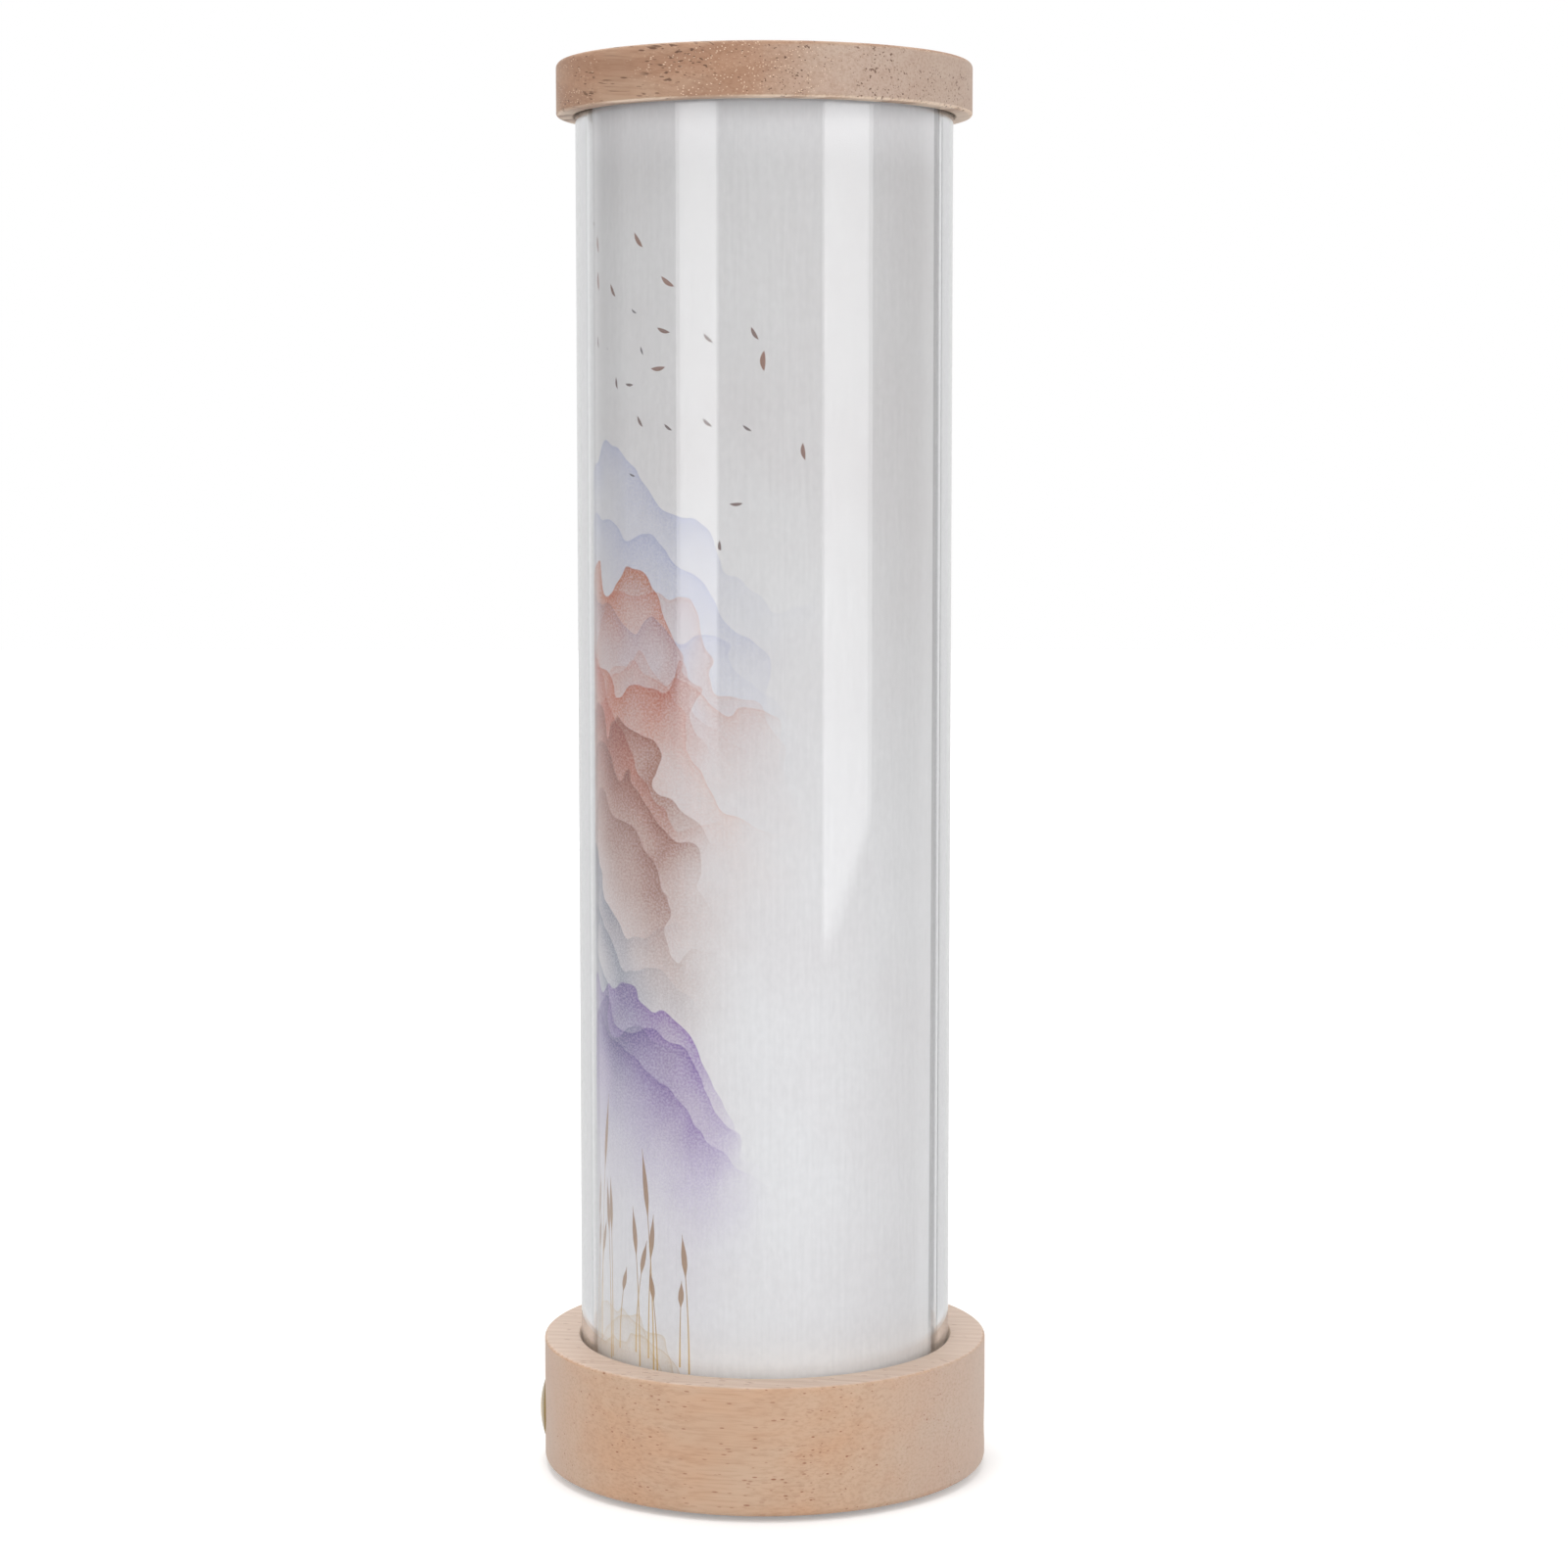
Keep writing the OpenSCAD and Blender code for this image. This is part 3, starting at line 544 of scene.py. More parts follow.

# %% [markdown]
# ## Clear acrylic
# The tube is extruded acrylic: clear, polished, and faintly streaked along its length by the die. Real glass
# in a path tracer blocks the lamps from what stands behind it, and the film in the tube would turn dark and
# noisy. So the shader is Principled glass for all that is seen, and plainly transparent for the rays that
# ask a lamp for light. Along the two edges one looks through far more acrylic, so the colour deepens there.
# A grey band is painted where the gap beside the film is seen, and a thin dark line next to it for the
# bore's edge: painted shade, both fainter on the button's side. Layer Weight tells how steeply the wall is
# seen. In the socket of the base the glass is painted white and the tint is gone, painted light for the
# light that the acrylic carries down there, and the painted lines are weak.

# %% Acrylic
CLEAR, WALL = (0.92, 0.922, 0.93, 1), (0.4, 0.402, 0.41, 1)
PAINTED_GAP_GREY, PAINTED_BORE_LINE = (0.34, 0.34, 0.345, 1), (0.1, 0.1, 0.105, 1)
WALL_STEEP, PAINTED_FOOT_LIGHT = (0.648, 0.672), (0.036, 0.046)
PAINTED_EDGE_LINES = (((0.554, 0.57), (0.634, 0.618), PAINTED_GAP_GREY), ((0.648, 0.661), (0.676, 0.663), PAINTED_BORE_LINE))
BUTTON_SIDE, BUTTON_SHARE, FOOT_SHARE = (-0.03, 0.03), 0.4, 0.35
DIE_CELLS, DIE_EDGE, DIE_ROUGH = (900, 900, 3), (0.35, 0.7), (0.005, 0.05)
DIE_BUMP, DIE_RELIEF = 0.12, 0.00002
SHADOW_TINT = (0.96, 0.965, 0.97, 1)

acrylic, tree, shader = new_finish("clear_acrylic", IOR=1.49, Transmission_Weight=1.0)
where = own_place(tree)
spot = split(tree, where)
streaks = noise(tree, stretched(tree, where, DIE_CELLS), 1, detail=3)["Fac"]
steep = place(tree, "LayerWeight", {"Blend": 0.5}).outputs["Facing"]
# Painted light at the foot: in the socket the glass is painted white and loses its wall tint
above = between(tree, spot["Z"], *PAINTED_FOOT_LIGHT)
depth = lay(tree, above, WHITE, CLEAR)
depth = lay(tree, times(tree, between(tree, steep, *WALL_STEEP), above), depth, WALL)
share = between(tree, spot["Y"], *BUTTON_SIDE, BUTTON_SHARE, 1.0)
share = times(tree, share, calc(tree, "MULTIPLY_ADD", above, 1 - FOOT_SHARE, FOOT_SHARE))
# Painted shade: a grey band for the gap beside the film and a dark line for the bore's edge, weaker on the
# button's side and at the foot
for rise, fall, colour in PAINTED_EDGE_LINES:
    line = times(tree, between(tree, steep, *rise), between(tree, steep, *fall), share)
    depth = lay(tree, line, depth, colour)
wire(tree, shader, {
    "Base Color": depth,
    "Roughness": between(tree, streaks, *DIE_EDGE, *DIE_ROUGH),
    "Normal": emboss(tree, streaks, DIE_BUMP, DIE_RELIEF),
})
clear = place(tree, "BsdfTransparent", {"Color": SHADOW_TINT}).outputs[0]
lamp_ray = place(tree, "LightPath").outputs["Is Shadow Ray"]
show(tree, place(tree, "MixShader", {0: lamp_ray, 1: shader.outputs[0], 2: clear}).outputs[0])
finishes["clear_acrylic"] = acrylic
print("acrylic with an index of", round(shader.inputs["IOR"].default_value, 2))

# %% [markdown]
# ## The rolled film
# The print is a sheet of film, 309 mm wide and 344 mm high, that is rolled up and slipped into the tube,
# where it springs open and laps over itself at the back. A cylinder would have no seam and no flat to print
# on. So this piece starts as the flat sheet, with its own UV map, and is then rolled: each point goes to the
# angle that its distance along the sheet gives. A little slackness keeps the roll from looking machined, and
# high up on one side the film leans out towards the bore.

# %% Roll the sheet
SHEET = (0.3092, 0.344)
SHEET_STEPS = (196, 48)
FILM_THICK = 0.0004
FLAP_EDGE, TURN = 95, 392
STEP_START, STEP = 130, 12
FLAP_R, ROLL_R = 0.0459, 0.0452
SLACK, SLACK_WAVES, SLACK_CLIMB, SLACK_BEAT = 0.00012, 3, 11, 17
LEAN, LEAN_AT, LEAN_WIDE = 0.00035, 82, 30
LEAN_FROM, LEAN_OVER = 0.1, 0.22
FILM_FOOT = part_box("print_film")[0].z


def film_radius(angle, height):
    done = min(1, max(0, (angle - STEP_START) / STEP))
    radius = FLAP_R + (ROLL_R - FLAP_R) * (1 - cos(pi * done)) / 2
    slack = SLACK * (1 + sin(radians(SLACK_WAVES * angle) + SLACK_CLIMB * height) * cos(SLACK_BEAT * height))
    beside = exp(-(((angle + 180) % 360 - 180 - LEAN_AT) / LEAN_WIDE) ** 2)
    lift = min(1, max(0, (height - LEAN_FROM) / LEAN_OVER))
    return radius + slack + LEAN * beside * lift * lift * (3 - 2 * lift)


shape = bmesh.new()
shape.loops.layers.uv.new("sheet")
half = Matrix.Diagonal((SHEET[0] / 2, SHEET[1] / 2, 1, 1))
columns, rows = SHEET_STEPS
bmesh.ops.create_grid(shape, x_segments=columns, y_segments=rows, size=1, matrix=half, calc_uvs=True)
for point in shape.verts:
    angle = FLAP_EDGE + TURN * (point.co.x / SHEET[0] + 0.5)
    height = point.co.y + SHEET[1] / 2
    radius = film_radius(angle, height)
    point.co = (radius * cos(radians(angle)), radius * sin(radians(angle)), FILM_FOOT + height)
for face in shape.faces:
    face.smooth = True
film = as_object("rolled_film", shape)
body = film.modifiers.new("film_thickness", "SOLIDIFY")
body.thickness, body.offset = FILM_THICK, 0
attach(film, "shade")
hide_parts("print_film")
print("film:", len(film.data.polygons), "faces, sheet of", SHEET, "m")

# %% [markdown]
# ## Ink for the print
# The print is a landscape in thin washes. A painter's wash has a sharp outer rim, where the pigment gathers
# as the water dries, and fades away below it. The group works that out for one range of hills: noise tears
# the paper's coordinates a little, a second noise draws the ridge, and the distance below the ridge gives
# both the rim and the fade.

# %% The wash group
TEAR_SCALE, TEAR = 45, (0.03, 0.024, 0)
RIDGE_DETAIL, SHOULDER = 1.5, 0.05
SPECKLE_SCALE, SPECKLE_NOISE, SPECKLE_SPAN = 1700, (0.3, 0.7), (0.7, 1.15)
MIST = (0.2, 0.7)
WASH_EDGE, RIM_EDGE, RIM_FADE = 0.0006, 0.00025, 0.00045


def bell(tree, value):
    return calc(tree, "EXPONENT", times(tree, value, value, -1))


wash, given, gives = new_group(
    "wash",
    {
        "Sheet": "Vector", "Middle": "Float", "Spread": "Float", "Peak": "Float",
        "Rise": "Float", "Grain": "Float", "Seed": "Float", "Depth": "Float",
    },
    {"Wash": "Float", "Rim": "Float"},
)
layer = place(wash, "CombineXYZ", {2: given["Seed"]}).outputs[0]
moved = vector(wash, "ADD", given["Sheet"], layer)
torn = noise(wash, moved, TEAR_SCALE, detail=2, roughness=0.4)["Color"]
torn = vector(wash, "SUBTRACT", torn, (0.5, 0.5, 0.5))
spot = split(wash, vector(wash, "MULTIPLY_ADD", torn, TEAR, given["Sheet"]))
ridge_at = calc(wash, "MULTIPLY_ADD", spot["X"], given["Grain"], given["Seed"])
ridge = noise_along(wash, ridge_at, 1, RIDGE_DETAIL)
aside = calc(wash, "SUBTRACT", spot["X"], given["Middle"])
swell = bell(wash, calc(wash, "DIVIDE", aside, given["Spread"]))
height = calc(wash, "MULTIPLY_ADD", calc(wash, "SUBTRACT", swell, 1), SHOULDER, given["Peak"])
height = calc(wash, "MULTIPLY_ADD", calc(wash, "SUBTRACT", ridge, 0.5), given["Rise"], height)
below = calc(wash, "SUBTRACT", height, spot["Y"])
deep = calc(wash, "MAXIMUM", below, 0)
fade = calc(wash, "EXPONENT", calc(wash, "DIVIDE", deep, times(wash, given["Depth"], -1)))
speckle = noise(wash, given["Sheet"], SPECKLE_SCALE, detail=1)["Fac"]
speckle = between(wash, speckle, *SPECKLE_NOISE, *SPECKLE_SPAN)
mist = between(wash, swell, *MIST)
line = calc(wash, "EXPONENT", calc(wash, "DIVIDE", deep, -RIM_FADE))
wire(wash, gives, {
    "Wash": times(wash, between(wash, below, 0, WASH_EDGE), fade, speckle, mist),
    "Rim": times(wash, between(wash, below, 0, RIM_EDGE), line, mist),
})
print("wash group:", len(wash.nodes), "nodes")

# %% [markdown]
# ## Leaves on the wind
# Small dark leaves drift over the hills. Placing each by hand would need a list of places. Voronoi cells
# already scatter points, and each cell brings its own random colour, so the group turns the space round each
# point by a random angle and draws one leaf there: two shallow arcs that meet in a tip at both ends.

# %% The leaf group
LEAF_CELLS, LEAF_STRAY = 95, 0.85
LEAF_SWING, LEAF_TURN = 2.2, -0.6
LEAF_LEAST, LEAF_MORE = 0.0011, 0.0016
LEAF_CURL, LEAF_WIDTH = -0.14, 0.27
INK_EDGE = 0.00012

leaves, given, gives = new_group(
    "leaves", {"Sheet": "Vector", "Share": "Float"}, {"Leaf": "Float", "Shade": "Float"}
)
scatter = {"Vector": given["Sheet"], "Scale": LEAF_CELLS, "Randomness": LEAF_STRAY}
cells = place(leaves, "TexVoronoi", scatter, voronoi_dimensions="2D").outputs
dice = place(leaves, "SeparateColor", {0: cells["Color"]}).outputs
local = vector(leaves, "SUBTRACT", given["Sheet"], cells["Position"])
angle = calc(leaves, "MULTIPLY_ADD", dice[0], LEAF_SWING, LEAF_TURN)
turned = place(leaves, "VectorRotate", {"Vector": local, "Angle": angle}, rotation_type="Z_AXIS")
spot = split(leaves, turned.outputs[0])
length = calc(leaves, "MULTIPLY_ADD", dice[1], LEAF_MORE, LEAF_LEAST)
share = calc(leaves, "DIVIDE", spot["X"], length)
share = times(leaves, share, share)
curl = calc(leaves, "MULTIPLY_ADD", times(leaves, share, length), LEAF_CURL, spot["Y"])
width = times(leaves, length, LEAF_WIDTH, calc(leaves, "SUBTRACT", 1, share))
edge = calc(leaves, "SUBTRACT", width, calc(leaves, "ABSOLUTE", curl))
chosen = calc(leaves, "LESS_THAN", dice[2], given["Share"])
leaf = times(leaves, chosen, between(leaves, edge, 0, INK_EDGE))
wire(leaves, gives, {"Leaf": leaf, "Shade": dice[1]})
print("leaf group:", len(leaves.nodes), "nodes")

# %% [markdown]
# ## Reeds at the water
# Golden reeds stand at the foot of the print. The sheet is cut into columns, each column draws a random
# number, and that number sets where its reed stands, how tall it is and how far it leans. The stalk narrows
# upwards and swells into a plume near its tip. A few rows with different columns overlap into a loose tuft.

# %% The reed group
REED_STRAY, REED_FIRST = 0.3, 0.35
REED_LEAST, REED_MORE = 0.5, 0.6
REED_FOOT, REED_FOOT_MORE = 0.007, 0.006
REED_LEAN = 0.6
PLUME_RISE, PLUME_END, PLUME_WIDTH = (0.68, 0.8), (1.0, 0.84), 0.0007
STALK_WIDTH, STALK_TAPER = 0.00032, -0.0002

reeds, given, gives = new_group(
    "reeds",
    {
        "Sheet": "Vector", "Column": "Float", "Tall": "Float",
        "Seed": "Float", "Middle": "Float", "Spread": "Float",
    },
    {"Reed": "Float", "Along": "Float"},
)
spot = split(reeds, given["Sheet"])
column = calc(reeds, "FLOOR", calc(reeds, "DIVIDE", spot["X"], given["Column"]))
seeded = calc(reeds, "ADD", column, given["Seed"])
drawn = place(reeds, "TexWhiteNoise", {"W": seeded}, noise_dimensions="1D").outputs[1]
dice = place(reeds, "SeparateColor", {0: drawn}).outputs

# Where each reed stands, how far up it a point lies, and how far beside its leaning middle line
inset = calc(reeds, "MULTIPLY_ADD", dice[0], REED_STRAY, REED_FIRST)
stand = times(reeds, calc(reeds, "ADD", column, inset), given["Column"])
tall = times(reeds, given["Tall"], calc(reeds, "MULTIPLY_ADD", dice[1], REED_MORE, REED_LEAST))
foot = calc(reeds, "MULTIPLY_ADD", dice[2], REED_FOOT_MORE, REED_FOOT)
along = calc(reeds, "DIVIDE", calc(reeds, "SUBTRACT", spot["Y"], foot), tall)
lean = times(reeds, calc(reeds, "SUBTRACT", dice[2], 0.5), times(reeds, given["Column"], REED_LEAN))
bow = times(reeds, lean, calc(reeds, "POWER", along, 2))
off = calc(reeds, "SUBTRACT", calc(reeds, "SUBTRACT", spot["X"], stand), bow)

# The blade: a tapering stalk with a plume, cut off at foot and tip, and only where the tuft grows
plume = times(reeds, between(reeds, along, *PLUME_RISE), between(reeds, along, *PLUME_END))
stalk = calc(reeds, "MULTIPLY_ADD", along, STALK_TAPER, STALK_WIDTH)
half_width = calc(reeds, "MULTIPLY_ADD", plume, PLUME_WIDTH, stalk)
edge = calc(reeds, "SUBTRACT", half_width, calc(reeds, "ABSOLUTE", off))
inside = times(reeds, calc(reeds, "GREATER_THAN", along, 0), calc(reeds, "LESS_THAN", along, 1))
near = calc(reeds, "DIVIDE", calc(reeds, "SUBTRACT", stand, given["Middle"]), given["Spread"])
grows = calc(reeds, "LESS_THAN", calc(reeds, "ABSOLUTE", near), 1)
blade = times(reeds, between(reeds, edge, 0, INK_EDGE), inside, grows)
wire(reeds, gives, {"Reed": blade, "Along": along})
print("reed group:", len(reeds.nodes), "nodes")

# %% [markdown]
# ## The ground of the film
# The film is white, but not evenly so. It greys towards its top, and painted shade greys its right side.
# Painted light makes it pale again along its top edge, where the cap shades it, and a painted warm
# reflection of the wood lies along its foot. It has clouds, a fleece and upright fibres in it. The UV map is
# scaled to metres first, so every size here is the real size on the sheet.

# %% Film ground
CLOUD_SCALE, FLEECE_SCALE, FIBRES_SCALE = 22, 620, 1000
FLEECE_STRETCH, FIBRES_STRETCH = (1, 0.6, 1), (1, 0.04, 1)
FLEECE_BUMP, FLEECE_RELIEF = 0.1, 0.0001
GROUND_LOW, GROUND_HIGH, GREYING = (0.92, 0.918, 0.925, 1), (0.71, 0.7, 0.695, 1), (0.05, 0.3)

printed, tree, shader = new_finish("printed_film", Roughness=0.5, Specular_IOR_Level=0.3)
unrolled = place(tree, "UVMap", uv_map="sheet").outputs[0]
flat = stretched(tree, unrolled, (*SHEET, 0))
cloud = noise(tree, flat, CLOUD_SCALE, detail=4, roughness=0.55)["Fac"]
fleece = stretched(tree, flat, FLEECE_STRETCH)
fleece = noise(tree, fleece, FLEECE_SCALE, detail=3, roughness=0.7)["Fac"]
fibres = stretched(tree, flat, FIBRES_STRETCH)
fibres = noise(tree, fibres, FIBRES_SCALE, detail=3, roughness=0.7)["Fac"]
spot = split(tree, flat)
# Painted light and shade: a warm reflection of the wood along the foot, shade on the right side, and light
# along the top edge against the cap's shadow
layers = {
    "painted wood reflection at foot": (spot["Y"], (0.026, 0.009), (0.905, 0.88, 0.865, 1), "MIX"),
    "painted shade on right": (spot["X"], (0.215, 0.262), (0.915, 0.91, 0.905, 1), "MULTIPLY"),
    "painted light at top": (spot["Y"], (0.318, 0.338), (0.9, 0.89, 0.895, 1), "MIX"),
    "clouds": (cloud, (0.35, 0.7), (0.97, 0.955, 0.955, 1), "MULTIPLY"),
    "fleece": (fleece, (0.3, 0.7), (0.95, 0.95, 0.95, 1), "MULTIPLY"),
    "fibres": (fibres, (0.3, 0.7), (0.96, 0.96, 0.96, 1), "MULTIPLY"),
}
ink = lay(tree, between(tree, spot["Y"], *GREYING), GROUND_LOW, GROUND_HIGH)
for value, limits, colour, blend in layers.values():
    ink = lay(tree, between(tree, value, *limits), ink, colour, blend)
wire(tree, shader, {"Normal": emboss(tree, fleece, FLEECE_BUMP, FLEECE_RELIEF)})
print("film ground with", ", ".join(layers))

# %% [markdown]
# ## Printing the hills
# Ink is transparent, so each wash multiplies the colour under it, as glazes do on paper. The far hills come
# first, then the nearer ones. Each range is printed as three veils, each a little lower and fainter than the
# one before. A row gives the range's numbers in the order of the columns, its pigment and its strength.

# %% Hills on the film
HILL_COLUMNS = ("Middle", "Spread", "Peak", "Rise", "Grain", "Seed", "Depth")
HILLS = (
    ((0.158, 0.05, 0.25, 0.045, 30, 4.9, 0.016), (0.56, 0.6, 0.84, 1), 0.75),
    ((0.176, 0.035, 0.215, 0.04, 34, 5.2, 0.014), (0.93, 0.62, 0.5, 1), 0.6),
    ((0.142, 0.05, 0.222, 0.05, 34, 7.7, 0.02), (0.78, 0.24, 0.08, 1), 1.0),
    ((0.152, 0.042, 0.182, 0.045, 40, 12.4, 0.018), (0.52, 0.27, 0.19, 1), 1.0),
    ((0.134, 0.045, 0.15, 0.04, 36, 17.9, 0.016), (0.3, 0.36, 0.5, 1), 1.0),
    ((0.163, 0.036, 0.112, 0.035, 44, 21.3, 0.015), (0.42, 0.27, 0.66, 1), 1.0),
    ((0.166, 0.036, 0.022, 0.014, 60, 29.5, 0.008), (0.8, 0.64, 0.4, 1), 0.3),
)
VEILS, VEIL_DROP, VEIL_SHIFT, VEIL_FADE = 3, 0.07, 1.3, 0.15
RIM_INK = 0.8

for numbers, pigment, strength in HILLS:
    hill = dict(zip(HILL_COLUMNS, numbers))
    for veil in range(VEILS):
        lower = {"Peak": hill["Peak"] * (1 - VEIL_DROP * veil), "Seed": hill["Seed"] + VEIL_SHIFT * veil}
        glaze = place(tree, "Group", {"Sheet": flat, **hill, **lower}, node_tree=wash).outputs
        thin = times(tree, glaze["Wash"], strength * (1 - VEIL_FADE * veil))
        ink = lay(tree, thin, ink, pigment, "MULTIPLY")
        ink = lay(tree, times(tree, glaze["Rim"], RIM_INK), ink, pigment, "MULTIPLY")
print("hills:", len(HILLS), "ranges of", VEILS, "veils")

# %% [markdown]
# ## Printing leaves and reeds
# Leaves and reeds are printed over the hills, in ink that covers. The leaves follow a slanting breeze across
# the sheet: the further from it, the fewer are drawn. The reeds stand in five rows, each with its own width
# of column, height and seed, and turn from straw to brown towards their tips.

# %% Leaves and reeds on the film
BREEZE_SLOPE, BREEZE_TOP, BREEZE_WIDE, BREEZE_END = -0.55, 0.37, 0.026, (0.235, 0.19)
LEAF_SHARE, LEAF_INK = 0.75, 0.9
LEAF_DARK, LEAF_BROWN = (0.03, 0.03, 0.04, 1), (0.24, 0.09, 0.045, 1)
REED_ROWS = (
    (0.013, 0.046, 4), (0.0155, 0.058, 31), (0.018, 0.05, 77), (0.0145, 0.038, 113), (0.0205, 0.064, 158),
)
TUFT = {"Middle": 0.166, "Spread": 0.026}
REED_INK, STRAW_TURN = 0.85, (0.1, 0.9)
STRAW_LOW, STRAW_TIP = (0.68, 0.43, 0.1, 1), (0.33, 0.16, 0.05, 1)

path = calc(tree, "MULTIPLY_ADD", spot["X"], BREEZE_SLOPE, BREEZE_TOP)
far = calc(tree, "DIVIDE", calc(tree, "SUBTRACT", spot["Y"], path), BREEZE_WIDE)
breeze = times(tree, bell(tree, far), between(tree, spot["X"], *BREEZE_END), LEAF_SHARE)
drifting = place(tree, "Group", {"Sheet": flat, "Share": breeze}, node_tree=leaves).outputs
leaf_tone = lay(tree, drifting["Shade"], LEAF_DARK, LEAF_BROWN)
ink = lay(tree, times(tree, drifting["Leaf"], LEAF_INK), ink, leaf_tone)

for column, tall, seed in REED_ROWS:
    tuft = {"Sheet": flat, "Column": column, "Tall": tall, "Seed": seed, **TUFT}
    row = place(tree, "Group", tuft, node_tree=reeds).outputs
    straw = lay(tree, between(tree, row["Along"], *STRAW_TURN), STRAW_LOW, STRAW_TIP)
    ink = lay(tree, times(tree, row["Reed"], REED_INK), ink, straw)

wire(tree, shader, {"Base Color": ink})
film.data.materials.append(printed)
finishes["printed_film"] = printed
print("print:", len(tree.nodes), "nodes in all")

# %% [markdown]
# ## Brass
# The button is a turned and polished brass dome. Metal is all reflection, so its colour is the tint of what
# it mirrors, and what tells a turned piece from a cast one are the fine rings that the tool leaves round its
# axis. The rings come from the distance to that axis, which runs along Y at the button's height. The colour
# is darker towards the rim, and dull patches tarnish. Tinned brass is made the same way in another colour.

# %% Brass and tinned brass
BUTTON_Z = sum(corner.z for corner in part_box("touch_button")) / 2
BUTTON_RIM, RIM_TONE = (0.004, 0.0068), (0.5, 0.5, 0.5, 1)
TOOL_SCALE, TOOL_BUMP, TOOL_RELIEF = 9000, 0.3, 0.00001
DULL_SCALE, DULL_EDGE, DULL_MORE = 160, (0.3, 0.8), 0.1
TARNISH, TARNISH_EDGE, TARNISH_SHARE = 0.8, (0.35, 0.75), 0.5


def turned_metal(name, colour, roughness):
    material, tree, shader = new_finish(name, Metallic=1.0)
    where = own_place(tree)
    middle = place(tree, "Mapping", {"Vector": where, "Location": (0, 0, -BUTTON_Z)}).outputs[0]
    radius = from_axis(tree, split(tree, middle))
    rings = noise_along(tree, radius, TOOL_SCALE, 1)
    dull = noise(tree, where, DULL_SCALE)["Fac"]
    tarnished = (*(TARNISH * part for part in colour), 1)
    tone = lay(tree, between(tree, dull, *TARNISH_EDGE, 0.0, TARNISH_SHARE), (*colour, 1), tarnished)
    wire(tree, shader, {
        "Base Color": lay(tree, between(tree, radius, *BUTTON_RIM), tone, RIM_TONE, "MULTIPLY"),
        "Roughness": between(tree, dull, *DULL_EDGE, roughness, roughness + DULL_MORE),
        "Normal": emboss(tree, rings, TOOL_BUMP, TOOL_RELIEF),
    })
    return material


finishes["brass"] = turned_metal("brass", (0.64, 0.455, 0.2), 0.17)
finishes["tinned_brass"] = turned_metal("tinned_brass", (0.72, 0.7, 0.63), 0.3)
print("button axis at z", round(BUTTON_Z, 4))

# %% [markdown]
# ## Moulded, plated and coated pieces
# The pieces under the tube and in the base are moulded plastic, plated steel, rubber and coated boards. None
# of them is a flat colour: a mould leaves a fine skin, plating clouds over, boards carry copper under their
# coat. One group gives two kinds of unevenness, slow clouds and a fine skin, and each finish takes its own
# share of both.

# %% The skin group
SKIN_BUMP = 0.4
UNEVEN = (0.3, 0.7)

skin_group, given, gives = new_group(
    "skin",
    {"Vector": "Vector", "Cloud Scale": "Float", "Skin Scale": "Float"},
    {"Cloud": "Float", "Skin": "Float"},
)
slow = noise(skin_group, given["Vector"], given["Cloud Scale"], detail=3, roughness=0.6)["Fac"]
fine = noise(skin_group, given["Vector"], given["Skin Scale"], detail=2, roughness=0.55)["Fac"]
wire(skin_group, gives, {"Cloud": between(skin_group, slow, *UNEVEN), "Skin": fine})


def skinned(name, tones, rough, scales, relief, **plain):
    material, tree, shader = new_finish(name, **plain)
    grit = {"Vector": own_place(tree), "Cloud Scale": scales[0], "Skin Scale": scales[1]}
    uneven = place(tree, "Group", grit, node_tree=skin_group).outputs
    wire(tree, shader, {
        "Base Color": lay(tree, uneven["Cloud"], (*tones[0], 1), (*tones[1], 1)),
        "Roughness": between(tree, uneven["Skin"], *UNEVEN, *rough),
        "Normal": emboss(tree, uneven["Skin"], SKIN_BUMP, relief),
    })
    finishes[name] = material


print("skin group:", len(skin_group.nodes), "nodes")

# %% [markdown]
# ## Plastics and rubber
# The bottom cover, the inlet and the seat ring are moulded, the feet are rubber, the driver board hangs on
# foam tape, and the leads have soft sleeves. A row gives two near tones, two ends of the roughness, the
# scales of clouds and skin, and the depth of that skin in metres. The opal diffuser also lets some light
# into its surface.

# %% Plastics and rubber
OPAL = {"Subsurface_Weight": 0.3, "Subsurface_Radius": (1, 1, 1), "Subsurface_Scale": 0.002}
PLASTICS = {
    "black_plastic": (((0.028, 0.028, 0.03), (0.036, 0.036, 0.037)), (0.42, 0.58), (60, 2600), 0.00006),
    "white_plastic": (((0.78, 0.78, 0.76), (0.74, 0.74, 0.71)), (0.4, 0.5), (70, 2200), 0.00003),
    "opal_acrylic": (((0.83, 0.83, 0.82), (0.8, 0.8, 0.785)), (0.3, 0.4), (40, 1800), 0.00002),
    "black_rubber": (((0.022, 0.022, 0.022), (0.032, 0.031, 0.03)), (0.75, 0.9), (220, 1500), 0.0001),
    "chip_plastic": (((0.018, 0.018, 0.02), (0.028, 0.028, 0.03)), (0.5, 0.65), (300, 3500), 0.00004),
    "capacitor_sleeve": (((0.022, 0.04, 0.17), (0.03, 0.05, 0.2)), (0.25, 0.35), (250, 1500), 0.00001),
    "white_insulation": (((0.74, 0.74, 0.7), (0.68, 0.68, 0.64)), (0.35, 0.45), (160, 1600), 0.00002),
    "red_insulation": (((0.47, 0.025, 0.022), (0.4, 0.02, 0.018)), (0.32, 0.42), (160, 1600), 0.00002),
    "grey_foam": (((0.36, 0.36, 0.36), (0.29, 0.29, 0.29)), (0.85, 0.95), (900, 1400), 0.0002),
}
PLASTIC_SOCKETS = {"black_plastic": {"Specular_IOR_Level": 0.25}, "opal_acrylic": OPAL}
for name, row in PLASTICS.items():
    skinned(name, *row, **PLASTIC_SOCKETS.get(name, {}))
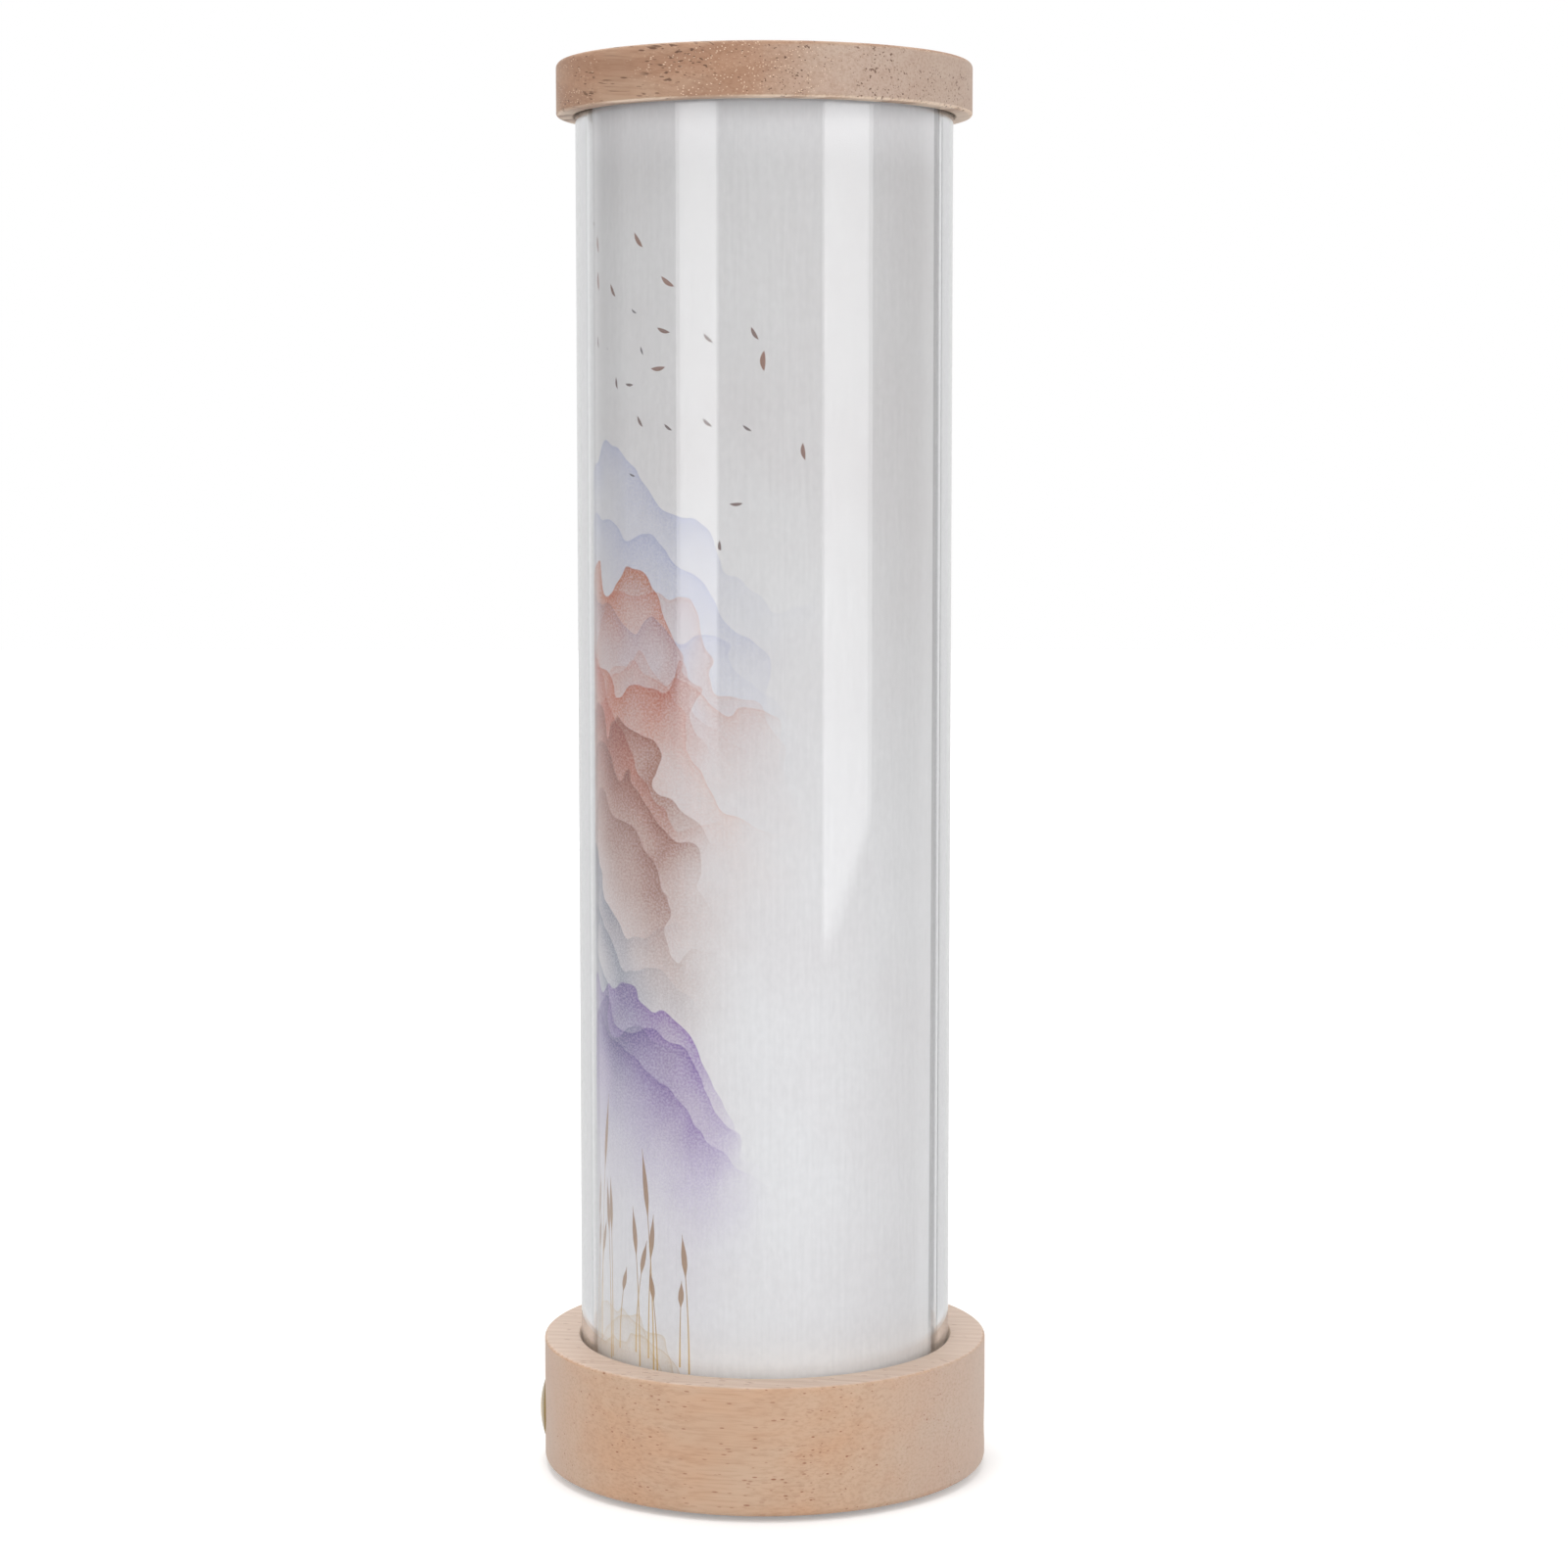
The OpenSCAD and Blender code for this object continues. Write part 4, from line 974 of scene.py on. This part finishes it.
print("plastics:", ", ".join(PLASTICS))

# %% [markdown]
# ## Plated steel, boards and light chips
# The screws and the inlet's nut are zinc plated, and zinc blooms into patches. The inlet's shell is cleaner,
# drawn steel. The boards are coated, with copper that shimmers through, and the chips of the light wear a
# clear coat over yellow phosphor. The rows read as those of the plastics do.

# %% Plated steel, boards and light chips
COATED = {
    "zinc_steel": (((0.62, 0.62, 0.61), (0.52, 0.53, 0.54)), (0.28, 0.42), (420, 2400), 0.00001),
    "shell_steel": (((0.6, 0.6, 0.61), (0.54, 0.54, 0.55)), (0.22, 0.34), (300, 3000), 0.00001),
    "white_board": (((0.84, 0.84, 0.81), (0.79, 0.79, 0.75)), (0.3, 0.42), (260, 1800), 0.00002),
    "green_board": (((0.022, 0.17, 0.065), (0.035, 0.24, 0.1)), (0.25, 0.35), (420, 1800), 0.00002),
    "light_chip": (((0.82, 0.62, 0.13), (0.76, 0.55, 0.1)), (0.15, 0.25), (500, 2500), 0.00001),
}
STEEL = {"Metallic": 1.0}
COATED_SOCKETS = {"zinc_steel": STEEL, "shell_steel": STEEL, "light_chip": {"Coat_Weight": 0.5}}
for name, row in COATED.items():
    skinned(name, *row, **COATED_SOCKETS.get(name, {}))
print("coated:", ", ".join(COATED))

# %% [markdown]
# ## Dressing the pieces
# The record says which finish each piece has, by the name of a material slot. The finishes here carry the
# same names, so one loop hands them out and nothing is forgotten: a slot without a finish would stop the
# loop.

# %% Hand out the finishes
for part in frame["record"]["subparts"]:
    piece = frame["nodes"][part["node"]]
    piece.data.materials.clear()
    piece.data.materials.append(finishes[part["material_slot"]])

# %% [markdown]
# ## Measure
# The film has to stay inside the box that the CAD model fills, so both boxes are written down side by side.

# %% Size
visual_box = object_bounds()
sizes = {"cad": [list(corner) for corner in cad_box], "visual": [list(corner) for corner in visual_box]}
for label, corners in sizes.items():
    print(label, "box in mm:", [[round(1000 * x, 1) for x in corner] for corner in corners])
